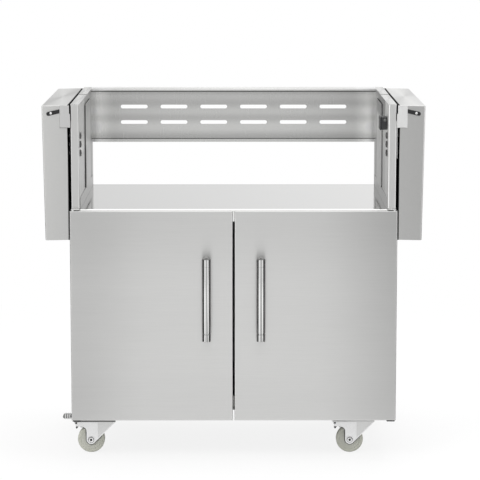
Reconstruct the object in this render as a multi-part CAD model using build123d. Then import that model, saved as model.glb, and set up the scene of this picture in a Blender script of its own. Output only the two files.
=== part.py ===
from build123d import *
import math
import os

# Grill cart in sheet steel: a cabinet with two doors on casters, an open bay above it for a grill head,
# and a fold-down shelf on each side. Millimetres, +X to the right, +Y to the back, +Z up.
# The origin is on the floor, under the middle of the whole object with doors shut and shelves folded.

# Sheet and fits
sheet = 1.5
bend_radius = 3.0
run_clearance = 0.05
hole_clearance = 0.2
swing_gap = 0.3
overrun = 1.5

# Frame: two hollow side walls that stand on the base
frame_width = 894.0
frame_depth = 625.0
wall_width = 24.0
bay_height = 289.5
cap_seam_at = 346.0
cap_seam = 2.0

# Front posts: folded back into the bay as far as the liners
post_bend = 5.0
post_return = 12.0

# Bay liner with its raised field, slit open along the front edge
field_depth = 4.5
field_start = 238.0
field_length = 206.0
field_foot = 31.0
field_head = 20.0

# Deck between the walls
deck_gap = 0.5
deck_inset = 37.0
deck_lip = 34.0
deck_bend = 4.0
deck_upstand = 30.0

# Slotted upper back panel
panel_height = 158.5
panel_cap = 59.0
panel_lip_reach = 8.0
panel_lip_height = 8.5
slot_length = 80.0
slot_width = 11.0
slot_pitch = 118.3
slot_columns = 6
slot_drop = 54.0
slot_row_step = 46.2
slot_rows = 2

# Doors
door_height = 586.5
door_thickness = 20.0
door_overlap = 3.0
door_gap = 5.0
door_setback = 4.0
door_reveal = 2.5
door_lift = 0.5

# Door hinges: a plate above and below each door carries a pin
hinge_inset = 8.0
hinge_depth = 8.0
hinge_pin_radius = 4.0
hinge_pin_reach = 14.0
hinge_plate = 2.5
hinge_plate_width = 22.0
hinge_plate_tail = 40.0
hinge_plate_nose = 6.0
hinge_block = 16.0

# Door handles
handle_offset = 74.7
handle_rise = 231.6
handle_length = 228.0
handle_diameter = 24.0
handle_standoff = 44.0
handle_end_length = 21.0
handle_post_diameter = 14.0

# Catches for the doors
catch_width = 30.0
catch_height = 16.0
catch_depth = 14.0
catch_offset = 45.0
catch_rim = 4.0
floor_catch_width = 60.0
floor_catch_height = 28.0
floor_catch_foot = 10.0

# Base
caster_height = 110.0
rail_height = 29.0
rail_width = 100.0
rail_sheet = 2.5
rail_inset = 6.0
back_flange = 20.0

# Folding shelves
shelf_length = 372.0
shelf_trim = 12.0
rim_at_hinge = 72.0
rim_at_tip = 66.6
rim_relief = 3.4
rim_relief_drop = 45.0
shelf_gap = 6.0
shelf_forward = 2.0
shelf_lean = 1.12
shelf_return = 15.0
pivot_in = 25.0
pivot_down = 21.5
shelf_pin_radius = 3.0
shelf_pin_head = 4.5
shelf_pin_head_height = 2.5
shelf_bush_radius = 8.0
shelf_bush_length = 12.0

# Shelf brackets on the frame
bracket_plate = 3.0
cheek_reach = 26.0
cheek_height = 61.0
cheek_drop = 3.5
cheek_edge = 1.2
cheek_notch_drop = 26.5
cheek_notch = 2.6
flange_top_drop = 46.5
arm_width = 10.5
arm_slope = 13.0
arm_nose = 7.0
arm_tail = 40.0
bracket_bolt_radius = 3.0
bracket_bolt_head = 5.5
bracket_bolt_head_height = 3.0
bracket_nut_height = 5.0
bracket_nut_radius = 9.5
bracket_bolt_inset = 30.0
bracket_bolt_drop = 89.0
bracket_bolt_pitch = 24.0
bracket_bolt_count = 3
bracket_edge = 14.0
bumper_radius = 7.0
bumper_inset = 58.0

# Small moulded box on the right bay liner
box_reach = 20.0
box_length = 50.0
box_height = 37.0
box_inset = 42.0
box_drop = 39.0
box_round = 2.0

# Casters
caster_side_inset = 82.5
caster_end_inset = 89.0
caster_trail = 37.4
wheel_diameter = 76.0
wheel_width = 26.0
tyre_round = 5.0
hub_diameter = 56.0
hub_web = 22.0
hub_rim = 3.0
hub_rim_inset = 1.5
hub_boss_radius = 10.0
side_gap = 0.5
axle_radius = 4.0
axle_head = 9.4
axle_head_height = 5.0
fork_sheet = 2.5
fork_room = 16.5
fork_boss = 13.0
fork_front_reach = 83.6
fork_rear_reach = 50.0
fork_crown = 3.0
fork_round = 8.25
fork_skirt = 20.5
fork_heel_angle = 45.0
plate_length = 90.0
plate_width = 70.0
plate_thickness = 3.0
plate_hole_x = 70.0
plate_hole_y = 50.0
race_radius = 26.0
race_height = 8.5
kingpin_radius = 5.0
kingpin_head = 9.0
kingpin_head_height = 6.0
caster_bolt_radius = 4.0
caster_bolt_head = 6.5
caster_bolt_head_height = 5.0

# Toe-brake pedals on the front casters
pedal_pivot_back = 42.0
pedal_pivot_drop = 12.0
pedal_pin_radius = 3.0
pedal_reach = 80.5
pedal_width = 30.0
pedal_tongue = 4.0
pedal_pad_length = 26.0
pedal_pad_height = 13.0
pedal_pad_rise = 10.5
pedal_pad_round = 6.0
pedal_rib_pitch = 6.0
pedal_rib_depth = 1.2
pedal_ribs = 3

# Places along Y, from the handle fronts to the back of the frame
handle_reach = handle_standoff + handle_diameter / 2
overall_depth = handle_reach + door_thickness + door_setback + frame_depth
door_front = handle_reach - overall_depth / 2
door_back = door_front + door_thickness
frame_front = door_back + door_setback
frame_back = frame_front + frame_depth
hinge_y = door_front + hinge_depth
deck_front = door_back + deck_gap
deck_back = frame_back - deck_inset
web_front = frame_back - panel_cap
lip_front = web_front - panel_lip_reach
rim_front = frame_front - shelf_forward
rim_back = rim_front + frame_depth - shelf_trim
shelf_middle = (rim_front + rim_back) / 2
arm_back = rim_front - swing_gap
arm_front = arm_back - bracket_plate
cheek_front = arm_front - bracket_plate

# Places along X, half widths from the middle
frame_half = frame_width / 2
inner_half = frame_half - wall_width
door_outer = frame_half + door_overlap
door_inner = door_gap / 2
hinge_x = door_outer - hinge_inset
caster_x = frame_half - caster_side_inset

# Heights
skin_bottom = caster_height + hinge_plate
door_bottom = skin_bottom + door_lift
door_top = door_bottom + door_height
deck_top = door_top + door_reveal
frame_top = deck_top + bay_height
cap_bottom = frame_top - sheet
floor_bottom = caster_height + rail_height
floor_top = floor_bottom + sheet
panel_bottom = frame_top - panel_height

# Heights in a caster
axle_z = wheel_diameter / 2
plate_bottom = caster_height - plate_thickness
race_bottom = plate_bottom - race_height
crown_top = race_bottom - side_gap
crown_bottom = crown_top - fork_crown
pedal_pivot_z = crown_top - pedal_pivot_drop
pedal_pad_top = crown_top + pedal_pad_rise

# Shelf pivots
pivot_x = frame_half + shelf_gap + rim_at_hinge - pivot_in
pivot_z = frame_top - pivot_in
shelf_outer = pivot_x + pivot_in
shelf_top = pivot_z + pivot_down
shelf_tip = shelf_top - shelf_length

SIDES = {"left": -1, "right": 1}
HEXAGON = 6


def block(x0, x1, y0, y1, z0, z1):
    """A box between two corners."""
    middle = Pos((x0 + x1) / 2, (y0 + y1) / 2, (z0 + z1) / 2)
    return middle * Box(abs(x1 - x0), abs(y1 - y0), abs(z1 - z0))


def rod_x(x0, x1, y, z, radius):
    """A round bar along X."""
    return Pos((x0 + x1) / 2, y, z) * Rot(0, 90, 0) * Cylinder(radius, abs(x1 - x0))


def rod_y(x, y0, y1, z, radius):
    """A round bar along Y."""
    return Pos(x, (y0 + y1) / 2, z) * Rot(90, 0, 0) * Cylinder(radius, abs(y1 - y0))


def rod_z(x, y, z0, z1, radius):
    """A round bar along Z."""
    return Pos(x, y, (z0 + z1) / 2) * Cylinder(radius, abs(z1 - z0))


def prism_y(points, y0, y1):
    """A closed outline of (x, z) points carried from y0 to y1."""
    outline = Polyline(*[(x, y0, z) for x, z in points], close=True)
    return extrude(make_face(outline), amount=y1 - y0, dir=(0, 1, 0))


def on_side(shape, side):
    """A piece drawn for the right, or its mirror image for the left."""
    return shape if side > 0 else mirror(shape, about=Plane.YZ)


def at_both_ends(shape):
    """A front shelf fitting, and its mirror image at the rear of the shelf."""
    middle = Plane(origin=(0, shelf_middle, 0), z_dir=(0, 1, 0))
    return [shape, mirror(shape, about=middle)]


def save(name, pieces):
    """Write one node, as its separate solids."""
    solids = [solid for piece in pieces for solid in piece.solids()]
    node = solids[0] if len(solids) == 1 else Compound(children=solids)
    export_step(node, f"parts/{name}.step")


def bracket_bolt_places():
    """(y, z) of every through bolt of a side's front and rear bracket."""
    rows = [frame_top - bracket_bolt_drop - row * bracket_bolt_pitch for row in range(bracket_bolt_count)]
    columns = [rim_front + bracket_bolt_inset, rim_back - bracket_bolt_inset]
    return [(y, z) for y in columns for z in rows]


def drill_bracket_bolts(shape):
    """Clearance holes for the through bolts, on the right side."""
    for y, z in bracket_bolt_places():
        shape -= rod_x(inner_half - wall_width, frame_half + wall_width, y, z,
                       bracket_bolt_radius + hole_clearance)
    return shape


def post_fold():
    """Front post's bend and its return along the bay, above the deck."""
    front = frame_front + post_bend
    bend = rod_z(inner_half + post_bend, front, deck_top, cap_bottom, post_bend)
    bend -= rod_z(inner_half + post_bend, front, deck_top, cap_bottom, post_bend - sheet)
    corner = block(inner_half, inner_half + post_bend, frame_front, front, deck_top, cap_bottom)
    back = block(inner_half, inner_half + sheet, front, frame_front + post_return, deck_top, cap_bottom)
    return (bend & corner) + back, corner


def side_skin():
    """Outer wall with folded front and rear posts, from the base to under the top caps."""
    outer = block(inner_half, frame_half, frame_front, frame_back, skin_bottom, cap_bottom)
    outer = fillet(outer.edges().filter_by(Axis.Z).group_by(Axis.X)[-1], bend_radius)
    inside = block(inner_half - wall_width, frame_half - sheet, frame_front + sheet, frame_back - sheet,
                   skin_bottom - overrun, cap_bottom + overrun)
    slot = block(hinge_x - hinge_plate_width, frame_half - sheet,
                 frame_front - overrun, frame_front + post_bend + overrun,
                 deck_top, deck_top + hinge_plate + hole_clearance)
    fold, corner = post_fold()
    return drill_bracket_bolts(outer - inside - corner + fold - slot)


def bay_liner():
    """Inner wall of the grill bay, with a field raised into the bay and slit along its front and top."""
    plate = block(inner_half, inner_half + sheet, frame_front + post_return, frame_back - sheet,
                  deck_top, cap_bottom)
    y0 = frame_front + field_start
    y1 = y0 + field_length
    z0 = deck_top + field_foot
    z1 = frame_top - field_head
    face = inner_half - field_depth
    raised = block(face, inner_half + sheet, y0, y1, z0, z1)
    inner_z = (z0 + sheet, z1 - sheet)
    hollow = block(face + sheet, inner_half + sheet + overrun, y0 + sheet, y1 - sheet, *inner_z)
    slit = block(face + sheet, inner_half, y0 - overrun, y0 + sheet + overrun, *inner_z)
    head_slit = block(face + sheet, inner_half, y0 + sheet, y1 - sheet, z1 - sheet - overrun, z1 + overrun)
    return drill_bracket_bolts(plate + raised - hollow - slit - head_slit)


def top_cap(y0, y1):
    """Cap on a side wall between two places along it."""
    cap = block(inner_half, frame_half, y0, y1, cap_bottom, frame_top)
    return fillet(cap.edges().group_by(Axis.Z)[-1], sheet / 2)


def deck():
    """Floor of the grill bay: front edge rolled down, ears under the walls, upturned sides."""
    roll = block(-inner_half, inner_half, deck_front, deck_back, deck_top - deck_lip, deck_top)
    roll = fillet(roll.edges().filter_by(Axis.X).group_by(Axis.Y)[0].group_by(Axis.Z)[-1], deck_bend)
    under = block(-frame_half, frame_half, deck_front + sheet, frame_back,
                  deck_top - deck_lip - overrun, deck_top - sheet)
    inner_edge = under.edges().filter_by(Axis.X).group_by(Axis.Y)[0].group_by(Axis.Z)[-1]
    under = fillet(inner_edge, deck_bend - sheet)
    shape = roll - under
    for side in SIDES.values():
        ear = block(inner_half - sheet, frame_half - sheet, frame_front + post_return, deck_back,
                    deck_top - sheet, deck_top)
        rise = block(inner_half - sheet, inner_half, frame_front + post_return, deck_back,
                     deck_top - sheet, deck_top + deck_upstand)
        shape += on_side(ear + rise, side)
    for x in (-catch_offset, catch_offset):
        z = deck_top - deck_lip / 2
        shape -= block(x - catch_width / 2, x + catch_width / 2,
                       deck_front - overrun, deck_front + sheet + overrun,
                       z - catch_height / 2, z + catch_height / 2)
    return shape


def back_panel():
    """Slotted panel across the back of the bay, lipped forwards at its top and foot."""
    shelf_z = panel_bottom + panel_lip_height
    web = block(-inner_half, inner_half, web_front, web_front + sheet, shelf_z - sheet, frame_top)
    cap = block(-inner_half, inner_half, lip_front, frame_back, cap_bottom, frame_top)
    top_lip = block(-inner_half, inner_half, lip_front, lip_front + sheet,
                    frame_top - panel_lip_height, frame_top)
    foot = block(-inner_half, inner_half, lip_front, web_front + sheet, shelf_z - sheet, shelf_z)
    foot_lip = block(-inner_half, inner_half, lip_front, lip_front + sheet, panel_bottom, shelf_z)
    shape = web + cap + top_lip + foot + foot_lip
    first = -slot_pitch * (slot_columns - 1) / 2
    for row in range(slot_rows):
        z = frame_top - slot_drop - row * slot_row_step
        for column in range(slot_columns):
            x = first + column * slot_pitch
            outline = Pos(x, web_front, z) * Rot(90, 0, 0) * SlotOverall(slot_length, slot_width)
            shape -= extrude(outline, amount=sheet + overrun, both=True)
    return shape


def cabinet_back():
    """Rear wall of the cabinet, under the deck's rear edge, flanged against the side walls."""
    wall = block(-frame_half + sheet, frame_half - sheet, deck_back - sheet, deck_back,
                 floor_bottom, deck_top - sheet)
    for side in SIDES.values():
        flange = block(frame_half - 2 * sheet, frame_half - sheet, deck_back - back_flange, deck_back,
                       floor_top, deck_top - sheet)
        wall += on_side(flange, side)
    return wall


def cabinet_floor():
    """Floor of the cabinet, notched round the front posts."""
    middle = block(-inner_half, inner_half, deck_front, deck_back - sheet, floor_bottom, floor_top)
    wings = block(-frame_half + sheet, frame_half - sheet, frame_front + sheet, deck_back - sheet,
                  floor_bottom, floor_top)
    return middle + wings


def base_rail():
    """Channel under the floor that carries a front and a rear caster."""
    half = rail_width / 2
    y0 = frame_front + rail_inset
    y1 = deck_back
    outer = block(caster_x - half, caster_x + half, y0, y1, caster_height, floor_bottom)
    inside = block(caster_x - half + rail_sheet, caster_x + half - rail_sheet, y0 - overrun, y1 + overrun,
                   caster_height + rail_sheet, floor_bottom + overrun)
    shape = outer - inside
    z0 = caster_height - overrun
    z1 = caster_height + rail_sheet + overrun
    for y in caster_rows().values():
        shape -= rod_z(caster_x, y, z0, z1, kingpin_radius + hole_clearance)
        for bx, by in caster_bolt_places(caster_x, y):
            shape -= rod_z(bx, by, z0, z1, caster_bolt_radius + hole_clearance)
    return shape


def lower_hinge_plate():
    """Angle under a door's outer corner, fixed behind the front post."""
    inner = frame_half - hinge_plate_width
    foot = block(inner, frame_half, hinge_y - hinge_plate_nose, frame_front + hinge_plate_tail,
                 caster_height, skin_bottom)
    upstand = block(inner, frame_half - sheet - swing_gap,
                    frame_front + sheet, frame_front + sheet + hinge_plate, skin_bottom, floor_bottom)
    hole = rod_z(hinge_x, hinge_y, caster_height - overrun, skin_bottom + overrun, hinge_pin_radius)
    return foot + upstand - hole


def upper_hinge_plate():
    """Plate on the deck's ear that reaches through the front post and over the door."""
    inner = frame_half - hinge_plate_width
    plate = block(inner, frame_half - sheet, hinge_y - hinge_plate_nose, frame_front + hinge_plate_tail,
                  deck_top, deck_top + hinge_plate)
    hole = rod_z(hinge_x, hinge_y, deck_top - overrun, deck_top + hinge_plate + overrun, hinge_pin_radius)
    return plate - hole


def hinge_pins():
    """The pins of one door, each filling its plate's hole and reaching into the door."""
    lower = rod_z(hinge_x, hinge_y, caster_height, door_bottom + hinge_pin_reach, hinge_pin_radius)
    upper = rod_z(hinge_x, hinge_y, door_top - hinge_pin_reach, deck_top + hinge_plate, hinge_pin_radius)
    return [lower, upper]


def deck_catch(x):
    """Magnet catch whose nose stands in a window of the deck's front lip."""
    z = deck_top - deck_lip / 2
    half = catch_width / 2
    nose = block(x - half + hole_clearance, x + half - hole_clearance, deck_front, deck_front + sheet,
                 z - catch_height / 2 + hole_clearance, z + catch_height / 2 - hole_clearance)
    body_top = min(z + catch_height / 2 + catch_rim, deck_top - deck_bend)
    body = block(x - half - catch_rim, x + half + catch_rim,
                 deck_front + sheet, deck_front + sheet + catch_depth,
                 z - catch_height / 2 - catch_rim, body_top)
    return nose + body


def floor_catch():
    """Magnet catch on the floor, behind the gap between the doors."""
    half = floor_catch_width / 2
    head = floor_top + floor_catch_foot
    foot = block(-half, half, deck_front + catch_depth / 2, deck_front + 2 * catch_depth, floor_top, head)
    face = block(-half, half, deck_front, deck_front + catch_depth, head, head + floor_catch_height)
    return foot + face


def door_skin():
    """Front and edges of a door, open at the back."""
    outer = block(door_inner, door_outer, door_front, door_back, door_bottom, door_top)
    outer = fillet(outer.edges().group_by(Axis.Y)[0], bend_radius)
    inside = block(door_inner + sheet, door_outer - sheet, door_front + sheet, door_back + overrun,
                   door_bottom + sheet, door_top - sheet)
    bore = rod_z(hinge_x, hinge_y, door_bottom - overrun, door_top + overrun,
                 hinge_pin_radius + hole_clearance)
    return outer - inside - bore


def door_liner():
    """Back sheet that closes a door."""
    return block(door_inner + sheet, door_outer - sheet, door_back - sheet, door_back,
                 door_bottom + sheet, door_top - sheet)


def hinge_blocks():
    """Bored blocks inside a door's outer corners."""
    blocks = []
    depth = hinge_pin_reach + sheet
    for z0 in (door_bottom + sheet, door_top - sheet - depth):
        body = block(door_outer - sheet - hinge_block, door_outer - sheet,
                     door_front + sheet, door_back - sheet, z0, z0 + depth)
        bore = rod_z(hinge_x, hinge_y, z0 - overrun, z0 + depth + overrun, hinge_pin_radius + run_clearance)
        blocks.append(body - bore)
    return blocks


def handle_places():
    """Lowest and highest point of a handle."""
    low = door_bottom + handle_rise
    return low, low + handle_length


def handle_bar():
    """Round bar between the two handle ends."""
    low, high = handle_places()
    return rod_z(handle_offset, door_front - handle_standoff,
                 low + handle_end_length, high - handle_end_length, handle_diameter / 2)


def handle_posts():
    """Bar ends, each with the post that holds it off the door."""
    low, high = handle_places()
    bar_y = door_front - handle_standoff
    posts = []
    for z0 in (low, high - handle_end_length):
        end = rod_z(handle_offset, bar_y, z0, z0 + handle_end_length, handle_diameter / 2)
        post = rod_y(handle_offset, bar_y, door_front, z0 + handle_end_length / 2, handle_post_diameter / 2)
        posts.append(end + post)
    return posts


def lean(shape):
    """Turn a right-hand shelf piece about its pivot until its tip rests by the frame."""
    return Pos(pivot_x, 0, pivot_z) * Rot(0, shelf_lean, 0) * Pos(-pivot_x, 0, -pivot_z) * shape


def shelf_pan():
    """Folded shelf: a deep pan whose open side faces the frame, its rims tapering to the tip."""
    tip_inner = shelf_outer - rim_at_tip
    rim_inner = shelf_outer - rim_at_hinge
    relief_top = shelf_top - rim_relief_drop
    outline = [(shelf_outer, shelf_top), (rim_inner, shelf_top), (rim_inner, relief_top),
               (rim_inner + rim_relief, relief_top), (tip_inner, shelf_tip), (shelf_outer, shelf_tip)]
    outer = prism_y(outline, rim_front, rim_back)
    top_bends = outer.edges().filter_by(Axis.X).group_by(Axis.Z)[-1]
    outer = fillet(outer.edges().group_by(Axis.X)[-1] + top_bends, bend_radius)
    hollow = block(frame_half - wall_width, shelf_outer - sheet, rim_front + sheet, rim_back - sheet,
                   shelf_tip + sheet, shelf_top - sheet)
    landing = block(tip_inner, tip_inner + sheet, rim_front + sheet, rim_back - sheet, shelf_tip,
                    shelf_tip + shelf_return)
    bore = rod_y(pivot_x, rim_front - overrun, rim_back + overrun, pivot_z,
                 shelf_pin_radius + hole_clearance)
    return lean(outer - hollow + landing - bore)


def shelf_bushes():
    """Bushes inside the front and rear rims."""
    y0 = rim_front + sheet
    body = rod_y(pivot_x, y0, y0 + shelf_bush_length, pivot_z, shelf_bush_radius)
    bore = rod_y(pivot_x, y0 - overrun, y0 + shelf_bush_length + overrun, pivot_z,
                 shelf_pin_radius + run_clearance)
    return at_both_ends(body - bore)


def shelf_brackets():
    """Cheek in front of the shelf's rim and flange along the frame, front and rear."""
    top = frame_top - cheek_drop
    bottom = top - cheek_height
    notch = frame_top - cheek_notch_drop
    cheek_inner = frame_half + cheek_notch
    cheek_outer = frame_half + bracket_plate + cheek_reach
    cheek = block(cheek_inner, cheek_outer, cheek_front, arm_front, bottom, top)
    face = cheek.edges().group_by(Axis.Y)[0]
    cheek = chamfer(face.group_by(Axis.X)[-1] + face.group_by(Axis.Z)[0], cheek_edge)
    corner = block(frame_half, cheek_inner, cheek_front, arm_front, bottom, notch)
    places = bracket_bolt_places()
    low = min(z for _, z in places) - bracket_edge
    head = rim_front + bracket_bolt_inset - bracket_edge
    tail = rim_front + bracket_bolt_inset + bracket_edge
    neck = block(frame_half, frame_half + bracket_plate, cheek_front, tail, bottom,
                 frame_top - flange_top_drop)
    flange = block(frame_half, frame_half + bracket_plate, head, tail, low, bottom)
    return [drill_bracket_bolts(piece) for piece in at_both_ends(cheek + corner + neck + flange)]


def shelf_arms():
    """Arms behind the cheeks that reach out to the pivot pins."""
    length = arm_tail + arm_nose
    middle = (arm_tail - arm_nose) / 2
    upright = Pos(pivot_x, arm_front, pivot_z) * Rot(90, 0, 0)
    outline = upright * Rot(0, 0, -arm_slope) * Pos(-middle, 0, 0) * SlotCenterToCenter(length, arm_width)
    arm = extrude(outline, amount=bracket_plate, dir=(0, 1, 0))
    arm -= rod_y(pivot_x, arm_front - overrun, arm_back + overrun, pivot_z, shelf_pin_radius)
    return at_both_ends(arm)


def shelf_pins():
    """Pivot pins through the arms, rims and bushes, headed at both ends."""
    bush_end = rim_front + sheet + shelf_bush_length
    head = rod_y(pivot_x, arm_front - shelf_pin_head_height, arm_front, pivot_z, shelf_pin_head)
    shaft = rod_y(pivot_x, arm_front, bush_end + swing_gap, pivot_z, shelf_pin_radius)
    tail = rod_y(pivot_x, bush_end + swing_gap, bush_end + swing_gap + sheet, pivot_z, shelf_pin_head)
    return at_both_ends(head + shaft + tail)


def bracket_bolts():
    """Bolts through a side's brackets and wall, headed outside, with nuts in the bay."""
    bolts = []
    outside = frame_half + bracket_plate
    for y, z in bracket_bolt_places():
        shank = rod_x(inner_half - bracket_nut_height, outside, y, z, bracket_bolt_radius)
        head = rod_x(outside, outside + bracket_bolt_head_height, y, z, bracket_bolt_head)
        seat = Plane(origin=(inner_half, y, z), z_dir=(-1, 0, 0))
        nut = extrude(seat * RegularPolygon(bracket_nut_radius, HEXAGON), amount=bracket_nut_height)
        bolts.append(shank + head + nut)
    return bolts


def shelf_bumpers():
    """Rubber bumpers on a side wall, under the folded shelf's landing flange."""
    angle = math.radians(shelf_lean)
    tip_inner = shelf_outer - rim_at_tip
    centre_z = shelf_tip + shelf_return / 2
    reach = tip_inner - pivot_x
    bumper_z = pivot_z + (centre_z - pivot_z) * math.cos(angle) - reach * math.sin(angle)
    landing_x = pivot_x + reach * math.cos(angle) + (shelf_tip - pivot_z) * math.sin(angle)
    columns = [rim_front + bumper_inset, rim_back - bumper_inset]
    return [rod_x(frame_half, landing_x - swing_gap, y, bumper_z, bumper_radius) for y in columns]


def junction_box():
    """Small moulded box on the right bay liner."""
    y0 = frame_front + box_inset
    z1 = frame_top - box_drop
    body = block(inner_half - box_reach, inner_half, y0, y0 + box_length, z1 - box_height, z1)
    return fillet(body.edges().group_by(Axis.X)[0], box_round)


def caster_rows():
    """Front and rear swivel axes along Y."""
    return {"front": frame_front + caster_end_inset, "rear": frame_back - caster_end_inset}


def caster_bolt_places(x, y):
    """Mounting bolts of the caster that swivels at (x, y)."""
    return [(x + sx * plate_hole_x / 2, y + sy * plate_hole_y / 2) for sx in (-1, 1) for sy in (-1, 1)]


def caster_plate(x, y):
    """Top plate of a caster with its bearing race."""
    shape = block(x - plate_length / 2, x + plate_length / 2, y - plate_width / 2, y + plate_width / 2,
                  plate_bottom, caster_height)
    shape += rod_z(x, y, race_bottom, plate_bottom, race_radius)
    shape -= rod_z(x, y, race_bottom - overrun, caster_height + overrun, kingpin_radius)
    for bx, by in caster_bolt_places(x, y):
        shape -= rod_z(bx, by, plate_bottom - overrun, caster_height + overrun,
                       caster_bolt_radius + hole_clearance)
    return shape


def kingpin(x, y):
    """Swivel pin from the top plate down through the fork's crown."""
    head_top = crown_bottom - side_gap
    shaft = rod_z(x, y, head_top, caster_height, kingpin_radius)
    return shaft + rod_z(x, y, head_top - kingpin_head_height, head_top, kingpin_head)


def caster_bolts(x, y):
    """Bolts that hold a caster's plate to its rail, with nuts inside the rail."""
    bolts = []
    rail_top = caster_height + rail_sheet
    for bx, by in caster_bolt_places(x, y):
        shank = rod_z(bx, by, plate_bottom, rail_top, caster_bolt_radius)
        head = rod_z(bx, by, plate_bottom - caster_bolt_head_height, plate_bottom, caster_bolt_head)
        nut = rod_z(bx, by, rail_top, rail_top + caster_bolt_head_height, caster_bolt_head)
        bolts.append(shank + head + nut)
    return bolts


def fork(x, y, braked):
    """Caster fork: crown plate and two shaped legs, trailing towards -X."""
    axle_x = x - caster_trail
    half = fork_room + fork_sheet
    rear = axle_x - fork_rear_reach
    front = axle_x + fork_front_reach
    shape = block(rear, front, y - half, y + half, crown_bottom, crown_top)
    shape = fillet(shape.edges().filter_by(Axis.Z), fork_round)
    shoulder = axle_x - fork_boss
    heel = math.radians(fork_heel_angle)
    toe = (axle_x + fork_boss * math.sin(heel), axle_z - fork_boss * math.cos(heel))
    skirt = crown_bottom - fork_skirt
    outline = [(rear + fork_crown, crown_bottom), (rear + fork_crown, skirt + sheet),
               (shoulder - fork_boss, skirt), (shoulder, skirt - fork_boss), (shoulder, axle_z), toe,
               (front - fork_round, crown_bottom)]
    for y0 in (y - half, y + fork_room):
        y1 = y0 + fork_sheet
        leg = prism_y(outline, y0, y1) + rod_y(axle_x, y0, y1, axle_z, fork_boss)
        leg -= rod_y(shoulder - fork_boss, y0 - overrun, y1 + overrun, skirt - fork_boss, fork_boss)
        leg -= rod_y(axle_x, y0 - overrun, y1 + overrun, axle_z, axle_radius)
        if braked:
            leg -= rod_y(axle_x - pedal_pivot_back, y0 - overrun, y1 + overrun, pedal_pivot_z,
                         pedal_pin_radius + run_clearance)
        shape += leg
    return shape - rod_z(x, y, crown_bottom - overrun, crown_top + overrun, kingpin_radius + run_clearance)


def axle(x, y):
    """Axle bolt through both fork legs, headed at both ends."""
    axle_x = x - caster_trail
    half = fork_room + fork_sheet
    shape = rod_y(axle_x, y - half, y + half, axle_z, axle_radius)
    for y0 in (y - half - axle_head_height, y + half):
        shape += rod_y(axle_x, y0, y0 + axle_head_height, axle_z, axle_head)
    return shape


def tyre(x, y):
    """Tread ring of a wheel."""
    axle_x = x - caster_trail
    half = wheel_width / 2
    ring = rod_y(axle_x, y - half, y + half, axle_z, wheel_diameter / 2)
    ring = fillet(ring.edges(), tyre_round)
    return ring - rod_y(axle_x, y - half - overrun, y + half + overrun, axle_z, hub_diameter / 2)


def hub(x, y):
    """Wheel centre: rim under the tread, thinner web, and a bored boss between the fork legs."""
    axle_x = x - caster_trail
    half = wheel_width / 2 - hub_rim_inset
    shape = rod_y(axle_x, y - half, y + half, axle_z, hub_diameter / 2)
    dish = rod_y(axle_x, y - half, y + half, axle_z, hub_diameter / 2 - hub_rim)
    web = rod_y(axle_x, y - hub_web / 2, y + hub_web / 2, axle_z, hub_diameter / 2 - hub_rim / 2)
    boss_half = fork_room - side_gap
    boss = rod_y(axle_x, y - boss_half, y + boss_half, axle_z, hub_boss_radius)
    bore = rod_y(axle_x, y - boss_half - overrun, y + boss_half + overrun, axle_z,
                 axle_radius + run_clearance)
    return shape - dish + web + boss - bore


def pedal(x, y):
    """Toe-brake pedal: trunnions in the fork legs, a tongue, and a ribbed pad behind the wheel."""
    axle_x = x - caster_trail
    pivot = axle_x - pedal_pivot_back
    tip = axle_x - pedal_reach
    half = fork_room - side_gap
    pin_half = fork_room + fork_sheet
    shape = rod_y(pivot, y - pin_half, y + pin_half, pedal_pivot_z, pedal_pin_radius)
    barrel = rod_y(pivot, y - half, y + half, pedal_pivot_z, pedal_pin_radius + pedal_tongue / 2)
    pad_half = pedal_width / 2
    pad_bottom = pedal_pad_top - pedal_pad_height
    pad = block(tip, tip + pedal_pad_length, y - pad_half, y + pad_half, pad_bottom, pedal_pad_top)
    pad = fillet(pad.edges().filter_by(Axis.Y).group_by(Axis.X)[0], pedal_pad_round)
    groove_half = pedal_rib_depth / 2
    for rib in range(1, pedal_ribs + 1):
        groove_x = tip + rib * pedal_rib_pitch
        pad -= block(groove_x - groove_half, groove_x + groove_half, y - pedal_width, y + pedal_width,
                     pedal_pad_top - pedal_rib_depth, pedal_pad_top + overrun)
    root = tip + pedal_pad_length - overrun
    outline = [(root, pad_bottom), (root, pad_bottom + pedal_tongue),
               (pivot, pedal_pivot_z + pedal_pin_radius), (pivot, pedal_pivot_z - pedal_pin_radius)]
    return shape + barrel + prism_y(outline, y - half, y + half) + pad


os.makedirs("parts", exist_ok=True)

save("deck", [deck()])
save("back_panel", [back_panel()])
save("cabinet_back", [cabinet_back()])
save("cabinet_floor", [cabinet_floor()])
save("junction_box", [junction_box()])
save("magnet_catches", [deck_catch(-catch_offset), deck_catch(catch_offset), floor_catch()])

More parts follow.
